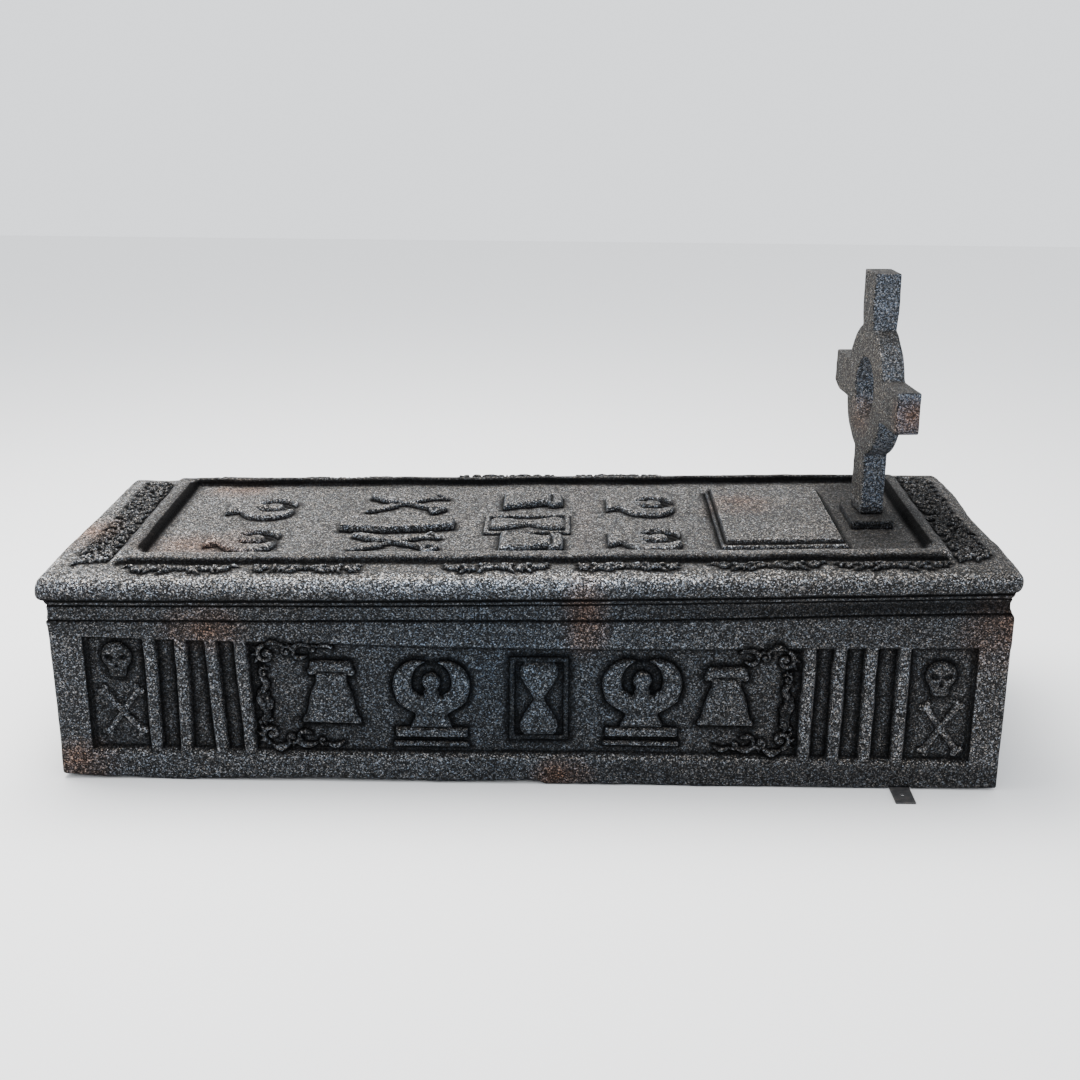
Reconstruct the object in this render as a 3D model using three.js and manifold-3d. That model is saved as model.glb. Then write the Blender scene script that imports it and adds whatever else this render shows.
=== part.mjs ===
// Table tomb: a hollow low chest with carved sides, a slab lid, and a ring-headed cross on a small foot.
// Millimetres, Z up, front face towards -Y, head end with the cross towards +X.
import * as THREE from "three";
import { mergeVertices } from "three/addons/utils/BufferGeometryUtils.js";
import Module from "manifold-3d";

const wasm = await Module();
wasm.setup();

// Lid slab
const lidLength = 2000;
const lidWidth = 800;
const lidThickness = 49;
const lidEdgeRound = 20;
const lidCornerRadius = 34;
const lidOverhangEnd = 23;
const lidOverhangSide = 22;

// Seat of the lid: the chest's top slopes up towards the head end
const seatHeightAtFoot = 396;
const seatHeightAtHead = 437;
const seatAngle = Math.atan2(seatHeightAtHead - seatHeightAtFoot, lidLength - 2 * lidOverhangEnd);
const seatHeight = (seatHeightAtFoot + seatHeightAtHead) / 2;
const restGap = 0.3;

// Chest
const chestLength = lidLength - 2 * lidOverhangEnd;
const chestDepth = lidWidth - 2 * lidOverhangSide;
const chestTaperFoot = 9;
const chestSwellHead = 5;
const wallThickness = 45;
const mouldingDrop = 47;
const coveDepth = 4;
const neckLip = 3;
const lipDrop = 13;
const creaseDepth = 2.5;
const creaseHeight = 3;

// Recessed panels
const panelFromFoot = 69;
const panelFromHead = 62;
const panelLeft = -chestLength / 2 + panelFromFoot;
const panelRight = chestLength / 2 - panelFromHead;
const panelBottom = 67;
const panelTop = seatHeightAtFoot - 89;
const panelDepth = 18;
const ledgeRise = 18;
const endPanelHalf = chestDepth / 2 - 88;
const endPanelDepth = 14;

// Places on the chest's long sides are given as shares of half its length
const alongChest = (share) => (share * chestLength) / 2;

// Upright bars in the long panels, as centre at the top and centre at the bottom
const barWidth = 26;
const barRound = 5;
const frontBars = [
  [-0.792, -0.789], [-0.726, -0.724], [-0.661, -0.648], [-0.602, -0.585],
  [0.593, 0.590], [0.655, 0.651], [0.720, 0.719], [0.789, 0.788],
];
const backBars = [-0.792, -0.726, -0.661, -0.602, 0.593, 0.655, 0.720, 0.789];
const endBars = [-endPanelHalf + 54, -endPanelHalf + 112, endPanelHalf - 112, endPanelHalf - 54];

// Devices in the front panel: share along the chest, height of their foot above the panel's foot
const skullPlaces = [[-0.862, 200], [0.868, 188]];
const bonesPlaces = [[-0.860, 88], [0.876, 76]];
const bellPlaces = [[-0.411, 69], [0.421, 72]];
const wingedPlaces = [[-0.2006, 76], [0.2436, 80]];
const hourglassPlace = [0.0266, 34];
const cornerInset = [-0.579, 0.575];

// Carved devices, height above the ground they stand on
const deviceHeight = 9;
const sinkBelow = 2;

// Head between two wings, on its foot
const wingLobe = 50;
const wingSpread = 28;
const wingRise = 82;
const wingNeck = 30;
const wingNeckRise = 25;
const wingFoot = 41;
const headRadius = 19;
const headRise = 88;
const hollowOuter = 42;

// Bell
const bellMouth = 65;
const bellWaist = 45;
const bellShoulder = 34;
const bellNeck = 19;
const bellBodyHeight = 98;
const bellCrownHalf = 43;
const bellCrownLow = 106;
const bellTop = 134;

// Hourglass
const glassFrameHalf = 62;
const lidGlassFrameHalf = 72;
const glassFrameHeight = 190;
const glassPost = 12;
const glassPlate = 14;
const glassBulbHalf = 38;
const glassWaistHalf = 9;

// Skull and crossed bones
const skullRadius = 29;
const jawHalf = 17;
const jawDrop = 38;
const socketRadius = 8;
const socketSpread = 14;
const boneLength = 118;
const boneWidth = 13;
const boneKnob = 11;
const boneSpread = 53;

// Crossed spades
const spadeShaft = 11;
const spadeLength = 205;
const spadeBlade = 80;
const spadeBladeWidth = 30;
const spadeGrip = 30;
const spadeSpread = 33;

// Coffin
const coffinLength = 262;
const coffinHead = 62;
const coffinShoulder = 96;
const coffinFoot = 58;
const coffinShoulderAt = 0.48;
const coffinHeight = 13;

// Rib frame round the lid's field
const ribFromFoot = 135;
const ribFromHead = 121;
const ribFromFront = 94;
const ribFromBack = 66;
const ribFootWidth = 62;
const ribHeadWidth = 54;
const ribFrontWidth = 60;
const ribBackWidth = 34;
const ribHeight = 16;
const ribRound = 22;

// Places along the lid are given as shares of half its length
const alongLid = (share) => (share * lidLength) / 2;

// Devices on the lid: share along it, distance of their foot or middle from its middle line
const lidWings = [[-0.690, 91], [-0.690, -134], [0.170, 101], [0.170, -144]];
const lidBells = [[-0.062, 128], [-0.062, -170]];
const lidSpades = [[-0.288, 136], [-0.288, -176]];
const lidCoffin = [-0.296, -45];
const lidHourglass = [-0.100, -40];

// Blank stepped tablet
const tabletLeft = alongLid(0.407);
const tabletRight = alongLid(0.668);
const tabletFront = -234;
const tabletBack = 200;
const tabletStep = 9;
const tabletLower = 10;
const tabletUpper = 8;

// Scroll ornament
const scrollHeight = 8;
const scrollTurns = 1.1;
const scrollSteps = 5;
const longStrips = [
  [-0.815, -0.595], [-0.560, -0.335], [-0.175, 0.050], [0.095, 0.315], [0.375, 0.605], [0.625, 0.855],
];
const stripFrontFromEdge = 28;
const stripFrontWidth = 54;
const stripBackFromEdge = 20;
const stripBackWidth = 38;
const endStripHalfWidth = 38;
const endStripHalfLength = lidWidth / 2 - 70;
const endStripAside = 10;
const footStripFromEnd = 93;
const headStripFromEnd = 84;

// Cross foot
const footFromHead = 210;
const footLength = 92;
const footFront = -85;
const footBack = 78;
const footHeight = 19;
const footRound = 5;

// Ring-headed cross
const crossFromHead = 252;
const crossAside = 14;
const crossTurn = THREE.MathUtils.degToRad(5);
const crossLean = THREE.MathUtils.degToRad(1.4);
const crossHeight = 524;
const crossThickness = 50;
const crossShaftWidth = 84;
const crossCentre = 270;
const crossArmHeight = 86;
const crossArmReach = 250;
const crossRing = 142;
const crossEye = 71;
const crossRound = 6;

// Flat steel floor tab under the front wall
const tabWidth = 41;
const tabThickness = 4;
const tabFromHead = 198;
const tabAt = chestLength / 2 - tabFromHead;
const tabReach = 68;
const tabLegHeight = 90;
const tabHole = 5.5;
const tabHoleFromEdge = 37;
const tabClearance = 0.6;

const solidOf = (geometry) => {
  const g = geometry.clone();
  g.deleteAttribute("normal");
  g.deleteAttribute("uv");
  const m = mergeVertices(g, 1e-4);
  return new wasm.Manifold(
    new wasm.Mesh({
      numProp: 3,
      vertProperties: new Float32Array(m.attributes.position.array),
      triVerts: new Uint32Array(m.index.array),
    }),
  );
};

const join = (pieces) => pieces.reduce((a, b) => a.add(b));

// A flat outline raised along +Z from -sinkBelow to the given height, its top edge eased by round.
const raise = (points, height, round = 0, hole = null) => {
  const shape = new THREE.Shape(points.map(([x, y]) => new THREE.Vector2(x, y)));
  if (hole) shape.holes.push(new THREE.Path(hole.map(([x, y]) => new THREE.Vector2(x, y))));
  const g = new THREE.ExtrudeGeometry(shape, {
    depth: height + sinkBelow - round,
    bevelEnabled: round > 0,
    bevelThickness: round,
    bevelSize: round,
    bevelOffset: -round,
    bevelSegments: round > 10 ? 3 : 1,
    curveSegments: 4,
  });
  return solidOf(g).translate([0, 0, -sinkBelow]);
};

const rectangle = (x0, y0, x1, y1) => [[x0, y0], [x1, y0], [x1, y1], [x0, y1]];

const ellipse = (cx, cy, rx, ry, n, start = 0) =>
  Array.from({ length: n }, (_, i) => {
    const a = start + (i / n) * 2 * Math.PI;
    return [cx + rx * Math.cos(a), cy + ry * Math.sin(a)];
  });

const roundedRectangle = (x0, y0, x1, y1, r, n = 2) => {
  const corners = [[x1 - r, y1 - r, 0], [x0 + r, y1 - r, 1], [x0 + r, y0 + r, 2], [x1 - r, y0 + r, 3]];
  return corners.flatMap(([cx, cy, q]) =>
    Array.from({ length: n + 1 }, (_, i) => {
      const a = (q + i / n) * (Math.PI / 2);
      return [cx + r * Math.cos(a), cy + r * Math.sin(a)];
    }),
  );
};

// Half-widths at heights, mirrored into a closed outline
const mirrored = (stations) => [
  ...stations.map(([w, h]) => [w, h]),
  ...stations.slice().reverse().map(([w, h]) => [-w, h]),
];

// A band that follows a spiral, wide at its start and fine at its end
const spiralBand = (cx, cy, r0, r1, a0, a1, w0, w1, steps = scrollSteps) => {
  const at = (t, side) => {
    const a = a0 + (a1 - a0) * t;
    const r = r0 + (r1 - r0) * t + side * (w0 + (w1 - w0) * t);
    return [cx + r * Math.cos(a), cy + r * Math.sin(a)];
  };
  const outer = Array.from({ length: steps + 1 }, (_, i) => at(i / steps, 1));
  const inner = Array.from({ length: steps + 1 }, (_, i) => at(1 - i / steps, -1));
  const ring = [...outer, ...inner];
  return a1 > a0 ? ring : ring.reverse();
};

// Devices: each is drawn upright about its own foot, top towards +Y
const wingedHead = (h) => {
  const lobes = [-1, 1].map((s) =>
    raise(ellipse(s * wingSpread, wingRise, wingLobe, wingLobe, 12, Math.PI / 12), h));
  const body = raise(
    [
      [wingFoot, 0], [wingNeck, wingNeckRise], [wingSpread + wingLobe * 0.86, wingRise - wingLobe * 0.5],
      [-wingSpread - wingLobe * 0.86, wingRise - wingLobe * 0.5], [-wingNeck, wingNeckRise], [-wingFoot, 0],
    ],
    h);
  const hollow = raise(
    spiralBand(0, headRise, (headRadius + hollowOuter) / 2, (headRadius + hollowOuter) / 2,
      -0.75, Math.PI + 0.75, (hollowOuter - headRadius) / 2, (hollowOuter - headRadius) / 2, 6),
    h).translate([0, 0, sinkBelow + 1]);
  return join([...lobes, body]).subtract(hollow);
};

const plinth = (half, h) => {
  const lower = raise(rectangle(-half, -48, half, -36), h * 0.6, 1);
  const upper = raise(rectangle(-half, -30, half, -10), h, 2);
  return lower.add(upper);
};

const bell = (h) =>
  raise(
    mirrored([
      [bellMouth, 0], [bellMouth - 4, 9], [bellWaist + 2, 28], [bellWaist, 52], [bellShoulder, 82],
      [bellNeck, bellBodyHeight], [bellNeck, bellCrownLow], [bellCrownHalf, bellCrownLow],
      [bellCrownHalf, bellTop - 9], [bellCrownHalf - 10, bellTop],
    ]),
    h);

const hourglass = (h, half, height) => {
  const frame = raise(
    rectangle(-half, 0, half, height), h * 0.7, 0,
    rectangle(-half + glassPost, glassPlate, half - glassPost, height - glassPlate));
  const mid = height / 2;
  const bulbs = raise(
    mirrored([
      [glassBulbHalf - 6, glassPlate - 2], [glassBulbHalf, glassPlate + 10], [glassBulbHalf - 6, mid * 0.52],
      [glassWaistHalf, mid], [glassBulbHalf - 6, height - mid * 0.52],
      [glassBulbHalf, height - glassPlate - 10], [glassBulbHalf - 6, height - glassPlate + 2],
    ]),
    h);
  return frame.add(bulbs);
};

const skull = (h) => {
  const head = raise(ellipse(0, 0, skullRadius, skullRadius * 0.9, 10), h);
  const jaw = raise(rectangle(-jawHalf, -jawDrop, jawHalf, 0), h * 0.8);
  const sockets = [-1, 1].map((s) =>
    raise(ellipse(s * socketSpread, -2, socketRadius, socketRadius * 0.8, 6), h).translate([0, 0, sinkBelow + 3]));
  const nose = raise([[-4, -20], [4, -20], [0, -12]], h).translate([0, 0, sinkBelow + 3]);
  return head.add(jaw).subtract(join([...sockets, nose]));
};

const bone = (h, angle) => {
  const shaft = raise(rectangle(-boneLength / 2, -boneWidth / 2, boneLength / 2, boneWidth / 2), h);
  const knobs = [-1, 1].map((s) => raise(ellipse((s * boneLength) / 2, 0, boneKnob * 0.8, boneKnob, 6), h));
  return join([shaft, ...knobs]).rotate([0, 0, angle]);
};

const crossedBones = (h) => bone(h, boneSpread).add(bone(h * 0.85, -boneSpread));

const spade = (h, angle) => {
  const half = spadeLength / 2;
  const shaft = raise(rectangle(-half + spadeBlade - 6, -spadeShaft / 2, half - 8, spadeShaft / 2), h);
  const blade = raise(
    [
      [-half, 0], [-half + 12, -spadeBladeWidth * 0.36], [-half + spadeBlade, -spadeBladeWidth / 2],
      [-half + spadeBlade, spadeBladeWidth / 2], [-half + 12, spadeBladeWidth * 0.36],
    ],
    h, 1);
  const grip = raise(
    [[half - spadeGrip, 0], [half, -spadeGrip * 0.8], [half + 6, 0], [half, spadeGrip * 0.8]], h, 0,
    [[half - spadeGrip * 0.55, 0], [half - 6, -spadeGrip * 0.42], [half - 6, spadeGrip * 0.42]]);
  return join([shaft, blade, grip]).rotate([0, 0, angle]);
};

const crossedSpades = (h) => spade(h, spadeSpread).add(spade(h * 0.8, -spadeSpread));

const coffin = (h) => {
  const shoulder = -coffinLength / 2 + coffinLength * coffinShoulderAt;
  return raise(
    [
      [-coffinLength / 2, -coffinHead / 2], [shoulder, -coffinShoulder / 2], [coffinLength / 2, -coffinFoot / 2],
      [coffinLength / 2, coffinFoot / 2], [shoulder, coffinShoulder / 2], [-coffinLength / 2, coffinHead / 2],
    ],
    h, 4);
};

// A strip of scrolls: a stem with a leaf at the middle and curls mirrored about it
const scrollStrip = (length, width, h, curls = 1) => {
  const pieces = [raise(rectangle(-length * 0.44, -width * 0.12, length * 0.44, width * 0.1), h * 0.6)];
  pieces.push(raise(ellipse(0, 0, width * 0.3, width * 0.5, 6, Math.PI / 6), h));
  const pitch = (length * 0.44) / curls;
  for (const s of [-1, 1])
    for (let i = 0; i < curls; i += 1) {
      const cx = s * (width * 0.15 + pitch * (i + 0.5));
      const flip = i % 2 ? -1 : 1;
      const r = Math.min(width * 0.44, pitch * 0.42);
      const curl = spiralBand(0, 0, r * 0.86, r * 0.2, 0, 2 * Math.PI * scrollTurns, r * 0.14, r * 0.16);
      pieces.push(
        raise(curl.map(([x, y]) => [cx + s * x, flip * y]).slice()[s * flip > 0 ? "slice" : "reverse"](), h));
      if (curls === 1) continue;
      const tip = s * Math.min(length * 0.49, Math.abs(cx) + pitch * 0.5 + 4);
      pieces.push(raise(ellipse(tip, flip * width * 0.12, width * 0.2, width * 0.3, 4), h * 0.85));
    }
  return join(pieces);
};

// An L of two curls and leaves for a panel's corner, along +X and -Y from its own corner
const scrollCorner = (h, along, down) => {
  const pieces = [
    raise(rectangle(14, -20, along, -12), h * 0.6),
    raise(rectangle(16, -down, 24, -14), h * 0.6),
  ];
  const curl = (cx, cy, r, turn) =>
    raise(
      spiralBand(cx, cy, r * 0.84, r * 0.2, turn, turn + 2 * Math.PI * scrollTurns, r * 0.16, r * 0.16), h);
  pieces.push(curl(26, -26, 19, 0));
  pieces.push(curl(along * 0.62, -18, 15, Math.PI));
  pieces.push(curl(24, -down * 0.62, 15, Math.PI / 2));
  pieces.push(raise(ellipse(along, -16, 13, 8, 5), h));
  pieces.push(raise(ellipse(21, -down, 8, 13, 5), h));
  return join(pieces);
};

// Turning a device: flat on the lid with its top towards +X, or upright on a face of the chest
const topToHead = (device) => device.rotate([0, 0, -90]);
const upright = (device) => device.rotate([90, 0, 0]);

// Lid
const slab = () => {
  const g = new THREE.ExtrudeGeometry(
    new THREE.Shape(
      roundedRectangle(-lidLength / 2, -lidWidth / 2, lidLength / 2, lidWidth / 2, lidCornerRadius, 4)
        .map(([x, y]) => new THREE.Vector2(x, y))),
    {
      depth: lidThickness - 2 * lidEdgeRound,
      bevelEnabled: true,
      bevelThickness: lidEdgeRound,
      bevelSize: lidEdgeRound,
      bevelOffset: -lidEdgeRound,
      bevelSegments: 3,
      curveSegments: 4,
    });
  return solidOf(g).translate([0, 0, lidEdgeRound]);
};

const lid = () => {
  const top = lidThickness;
  const on = (device, x, y) => device.translate([x, y, top]);
  const ribLeft = -lidLength / 2 + ribFromFoot;
  const ribRight = lidLength / 2 - ribFromHead;
  const ribFront = -lidWidth / 2 + ribFromFront;
  const ribBack = lidWidth / 2 - ribFromBack;
  const rib = raise(
    roundedRectangle(ribLeft, ribFront, ribRight, ribBack, ribRound, 2), ribHeight, ribRound * 0.6,
    rectangle(ribLeft + ribFootWidth, ribFront + ribFrontWidth, ribRight - ribHeadWidth, ribBack - ribBackWidth)
      .reverse());
  const pieces = [slab(), on(rib, 0, 0)];
  for (const [share, y] of lidWings)
    pieces.push(on(topToHead(wingedHead(deviceHeight)), alongLid(share), y));
  for (const [share, y] of lidBells) pieces.push(on(topToHead(bell(deviceHeight)), alongLid(share), y));
  for (const [share, y] of lidSpades) pieces.push(on(crossedSpades(deviceHeight), alongLid(share), y));
  pieces.push(on(coffin(coffinHeight), alongLid(lidCoffin[0]), lidCoffin[1]));
  pieces.push(
    on(
      topToHead(hourglass(deviceHeight, lidGlassFrameHalf, glassFrameHeight)),
      alongLid(lidHourglass[0]), lidHourglass[1]));
  pieces.push(on(raise(rectangle(tabletLeft, tabletFront, tabletRight, tabletBack), tabletLower, 3), 0, 0));
  pieces.push(
    on(
      raise(
        rectangle(
          tabletLeft + tabletStep, tabletFront + tabletStep, tabletRight - tabletStep, tabletBack - tabletStep),
        tabletLower + tabletUpper, 3),
      0, 0));
  const frontY = -lidWidth / 2 + stripFrontFromEdge + stripFrontWidth / 2;
  const backY = lidWidth / 2 - stripBackFromEdge - stripBackWidth / 2;
  for (const [from, to] of longStrips) {
    const length = alongLid(to - from);
    const middle = alongLid((from + to) / 2);
    pieces.push(on(scrollStrip(length, stripFrontWidth, scrollHeight), middle, frontY));
    pieces.push(on(scrollStrip(length, stripBackWidth, scrollHeight), middle, backY));
  }
  for (const x of [-lidLength / 2 + footStripFromEnd, lidLength / 2 - headStripFromEnd]) {
    const along = scrollStrip(2 * endStripHalfLength, 2 * endStripHalfWidth, scrollHeight, 3);
    pieces.push(on(along.rotate([0, 0, 90]), x, endStripAside));
  }
  return join(pieces);
};

// Chest
const chest = () => {
  const halfX = chestLength / 2;
  const halfY = chestDepth / 2;
  const seat = (body) => body.rotate([0, -THREE.MathUtils.radToDeg(seatAngle), 0]).translate([0, 0, seatHeight]);
  const prism = (points, depth) => {
    const g = new THREE.ExtrudeGeometry(
      new THREE.Shape(points.map(([x, y]) => new THREE.Vector2(x, y))), { depth, bevelEnabled: false });
    return solidOf(g).translate([0, 0, -depth / 2]).rotate([90, 0, 0]);
  };
  const tall = seatHeightAtHead + 60;
  const lowerOutline = [
    [-halfX + chestTaperFoot, 0], [halfX + chestSwellHead - 2, 0], [halfX + chestSwellHead, 200],
    [halfX + chestSwellHead + 2, 335], [halfX + chestSwellHead + 2, tall], [-halfX, tall], [-halfX, 345],
    [-halfX + chestTaperFoot * 0.6, 210],
  ];
  const lower = prism(lowerOutline, chestDepth);
  const below = solidOf(new THREE.BoxGeometry(2 * chestLength, 2 * chestDepth, 2 * tall))
    .translate([0, 0, -tall - mouldingDrop - creaseHeight]);
  const profile = (half) =>
    mirrored([
      [half - coveDepth - 3, -mouldingDrop - 20], [half - creaseDepth, -mouldingDrop - creaseHeight],
      [half - creaseDepth, -mouldingDrop], [half, -mouldingDrop], [half - coveDepth * 0.8, -mouldingDrop * 0.72],
      [half - coveDepth, -mouldingDrop * 0.5], [half - 1, -lipDrop - 1], [half - 1, -lipDrop],
      [half + neckLip, -restGap],
    ]);
  const moulding = prism(profile(halfX), 2 * chestDepth)
    .intersect(prism(profile(halfY), 2 * chestLength).rotate([0, 0, 90]));
  let body = lower.intersect(seat(below)).add(seat(moulding));

  const opening = solidOf(
    new THREE.BoxGeometry(chestLength - 2 * wallThickness, chestDepth - 2 * wallThickness, 3 * tall));
  body = body.subtract(opening);

  // The recess of a panel, cut from the outside: its floor edge slopes out as a ledge
  const beyond = 20;
  const recess = (x0, x1, depth) => {
    const g = new THREE.ExtrudeGeometry(
      new THREE.Shape(
        [
          [beyond, panelBottom], [0, panelBottom], [-depth, panelBottom + ledgeRise], [-depth, panelTop],
          [beyond, panelTop],
        ]
          .map(([x, y]) => new THREE.Vector2(x, y))),
      { depth: x1 - x0, bevelEnabled: false });
    return solidOf(g).rotate([90, 0, 0]).rotate([0, 0, -90]).translate([x1, 0, 0]);
  };
  const front = (piece) => piece.translate([0, -halfY, 0]);
  const back = (piece) => front(piece).rotate([0, 0, 180]);
  const ends = (piece) =>
    [piece.translate([0, -halfX - chestSwellHead, 0]).rotate([0, 0, 90]),
      piece.translate([0, -halfX + chestTaperFoot * 0.6, 0]).rotate([0, 0, -90])];
  body = body.subtract(join([
    front(recess(panelLeft, panelRight, panelDepth)),
    back(recess(panelLeft, panelRight, panelDepth)),
    ...ends(recess(-endPanelHalf, endPanelHalf, endPanelDepth)),
  ]));

  const ground = panelDepth;
  const set = (device, x, z, depth = ground) => upright(device).translate([x, depth, z]);
  const bar = (top, bottom, depth) =>
    set(
      raise(
        [
          [bottom - barWidth / 2, panelBottom], [bottom + barWidth / 2, panelBottom],
          [top + barWidth / 2, panelTop + 6], [top - barWidth / 2, panelTop + 6],
        ],
        depth - 0.5, barRound),
      0, 0, depth);
  const carved = [];
  for (const [top, bottom] of frontBars)
    carved.push(front(bar(alongChest(top), alongChest(bottom), panelDepth)));
  for (const at of backBars) carved.push(back(bar(alongChest(at), alongChest(at), panelDepth)));
  for (const at of endBars) carved.push(...ends(bar(at, at, endPanelDepth)));
  const place = (device, [share, height]) =>
    carved.push(front(set(device, alongChest(share), panelBottom + height)));
  for (const at of skullPlaces) place(skull(deviceHeight), at);
  for (const at of bonesPlaces) place(crossedBones(deviceHeight), at);
  for (const at of bellPlaces) place(bell(deviceHeight), at);
  for (const at of wingedPlaces) {
    place(wingedHead(deviceHeight), at);
    place(plinth(76, deviceHeight), at);
  }
  place(hourglass(deviceHeight, glassFrameHalf, glassFrameHeight), hourglassPlace);
  const corner = (x, z, sx, sz, along, down) => {
    let piece = scrollCorner(scrollHeight, along, down);
    if (sx < 0) piece = piece.mirror([1, 0, 0]);
    if (sz > 0) piece = piece.mirror([0, 1, 0]);
    return front(set(piece, x, z));
  };
  const [footCorner, headCorner] = cornerInset.map(alongChest);
  carved.push(corner(footCorner, panelTop + 2, 1, -1, 150, 150), corner(footCorner, panelBottom + 10, 1, 1, 155, 60));
  carved.push(corner(headCorner, panelTop + 2, -1, -1, 100, 150), corner(headCorner, panelBottom + 10, -1, 1, 150, 60));
  return body.add(join(carved));
};

// Cross and its foot, both standing on the lid in the tilted frame
const footRight = lidLength / 2 - footFromHead;
const crossFoot = () =>
  raise(roundedRectangle(footRight - footLength, footFront, footRight, footBack, 8, 2), footHeight, footRound)
    .trimByPlane([0, 0, 1], 0)
    .translate([0, 0, lidThickness + restGap]);

const cross = () => {
  const t = crossThickness;
  const w = crossShaftWidth / 2;
  const slabOf = (points, hole = null) => {
    const shape = new THREE.Shape(points.map(([x, y]) => new THREE.Vector2(x, y)));
    if (hole) shape.holes.push(new THREE.Path(hole.map(([x, y]) => new THREE.Vector2(x, y))));
    const g = new THREE.ExtrudeGeometry(shape, {
      depth: t - 2 * crossRound,
      bevelEnabled: true,
      bevelThickness: crossRound,
      bevelSize: crossRound,
      bevelOffset: -crossRound,
      bevelSegments: 1,
    });
    return solidOf(g).translate([0, 0, -t / 2 + crossRound]);
  };
  const upper = crossHeight - crossCentre;
  const arm = crossArmHeight / 2;
  const outline = [];
  // The outline runs round the ring, and out along each limb where the ring meets it
  const limb = (angle, half, reach) => {
    const a = Math.asin(half / crossRing);
    const place = (x, y) => [x * Math.cos(angle) - y * Math.sin(angle), x * Math.sin(angle) + y * Math.cos(angle)];
    outline.push(place(crossRing * Math.cos(a), -half), place(reach, -half), place(reach, half));
    outline.push(place(crossRing * Math.cos(a), half));
    return a;
  };
  const quarter = Math.PI / 2;
  const limbs = [[0, arm, crossArmReach], [quarter, w, upper], [2 * quarter, arm, crossArmReach],
    [3 * quarter, w, crossCentre + 40]];
  limbs.forEach(([angle, half, reach], i) => {
    const a = limb(angle, half, reach);
    const next = limbs[(i + 1) % 4];
    const b = Math.asin(next[1] / crossRing);
    const from = angle + a;
    const to = angle + quarter - b;
    for (let k = 1; k < 5; k += 1) {
      const s = from + ((to - from) * k) / 5;
      outline.push([crossRing * Math.cos(s), crossRing * Math.sin(s)]);
    }
  });
  let body = slabOf(outline, ellipse(0, 0, crossEye, crossEye, 24).reverse());
  // Drawn in its own plane, then stood up across the slab: width along Y, thickness along X
  body = body.rotate([90, 0, 90]).translate([0, 0, crossCentre]);
  body = body.rotate([0, THREE.MathUtils.radToDeg(crossLean), THREE.MathUtils.radToDeg(crossTurn)]);
  const top = lidThickness + footHeight + 2 * restGap;
  const crossAt = lidLength / 2 - crossFromHead;
  body = body.translate([crossAt, crossAside, top]);
  const under = solidOf(new THREE.BoxGeometry(crossHeight, crossHeight, crossHeight))
    .translate([crossAt, crossAside, top - crossHeight / 2]);
  return body.subtract(under);
};

// Floor tab: one leg on the floor under the front wall, one against the wall's inner face
const tabFrontY = -chestDepth / 2 - tabReach;
const tabInnerY = -chestDepth / 2 + wallThickness;
const floorBracket = () => {
  const floorLeg = solidOf(new THREE.BoxGeometry(tabWidth, tabInnerY + tabThickness + 1 - tabFrontY, tabThickness))
    .translate([tabAt, (tabFrontY + tabInnerY + tabThickness + 1) / 2, tabThickness / 2]);
  const upLeg = solidOf(new THREE.BoxGeometry(tabWidth, tabThickness, tabLegHeight))
    .translate([tabAt, tabInnerY + 1 + tabThickness / 2, tabLegHeight / 2]);
  const hole = solidOf(new THREE.CylinderGeometry(tabHole, tabHole, 20, 20).rotateX(Math.PI / 2))
    .translate([tabAt, tabFrontY + tabHoleFromEdge, 0]);
  return floorLeg.add(upLeg).subtract(hole);
};
const notch = solidOf(
  new THREE.BoxGeometry(
    tabWidth + 2 * tabClearance, wallThickness + 20, 2 * (tabThickness + tabClearance)))
  .translate([tabAt, -chestDepth / 2 + wallThickness / 2, 0]);

const stone = new THREE.MeshStandardMaterial({ color: 0x6d6f72, roughness: 0.9 });
const steel = new THREE.MeshStandardMaterial({ color: 0x4a4a4c, roughness: 0.6, metalness: 0.4 });

const meshOf = (name, body, material) => {
  const m = body.getMesh();
  const g = new THREE.BufferGeometry();
  g.setAttribute("position", new THREE.BufferAttribute(new Float32Array(m.vertProperties), 3));
  g.setIndex(new THREE.BufferAttribute(new Uint32Array(m.triVerts), 1));
  g.computeVertexNormals();
  const mesh = new THREE.Mesh(g, material);
  mesh.name = name;
  return mesh;
};

const root = new THREE.Group();
const tilted = new THREE.Group();
tilted.position.z = seatHeight;
tilted.rotation.y = -seatAngle;
tilted.add(meshOf("lid", lid(), stone));
tilted.add(meshOf("cross_foot", crossFoot(), stone));
tilted.add(meshOf("cross", cross(), stone));
root.add(tilted);
root.add(meshOf("chest", chest().subtract(notch), stone));
root.add(meshOf("floor_bracket", floorBracket(), steel));

// The frame's origin is the centre of the whole footprint on the floor
root.updateMatrixWorld(true);
const box = new THREE.Box3().setFromObject(root, true);
const shift = new THREE.Vector3(-(box.min.x + box.max.x) / 2, -(box.min.y + box.max.y) / 2, -box.min.z);
const placed = new THREE.Group();
root.position.copy(shift);
placed.add(root);

export default placed;
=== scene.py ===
from math import asin, atan2, cos, exp, pi, radians, sin, tan

import bpy
import numpy as np
from mathutils import Matrix, Vector


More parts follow.
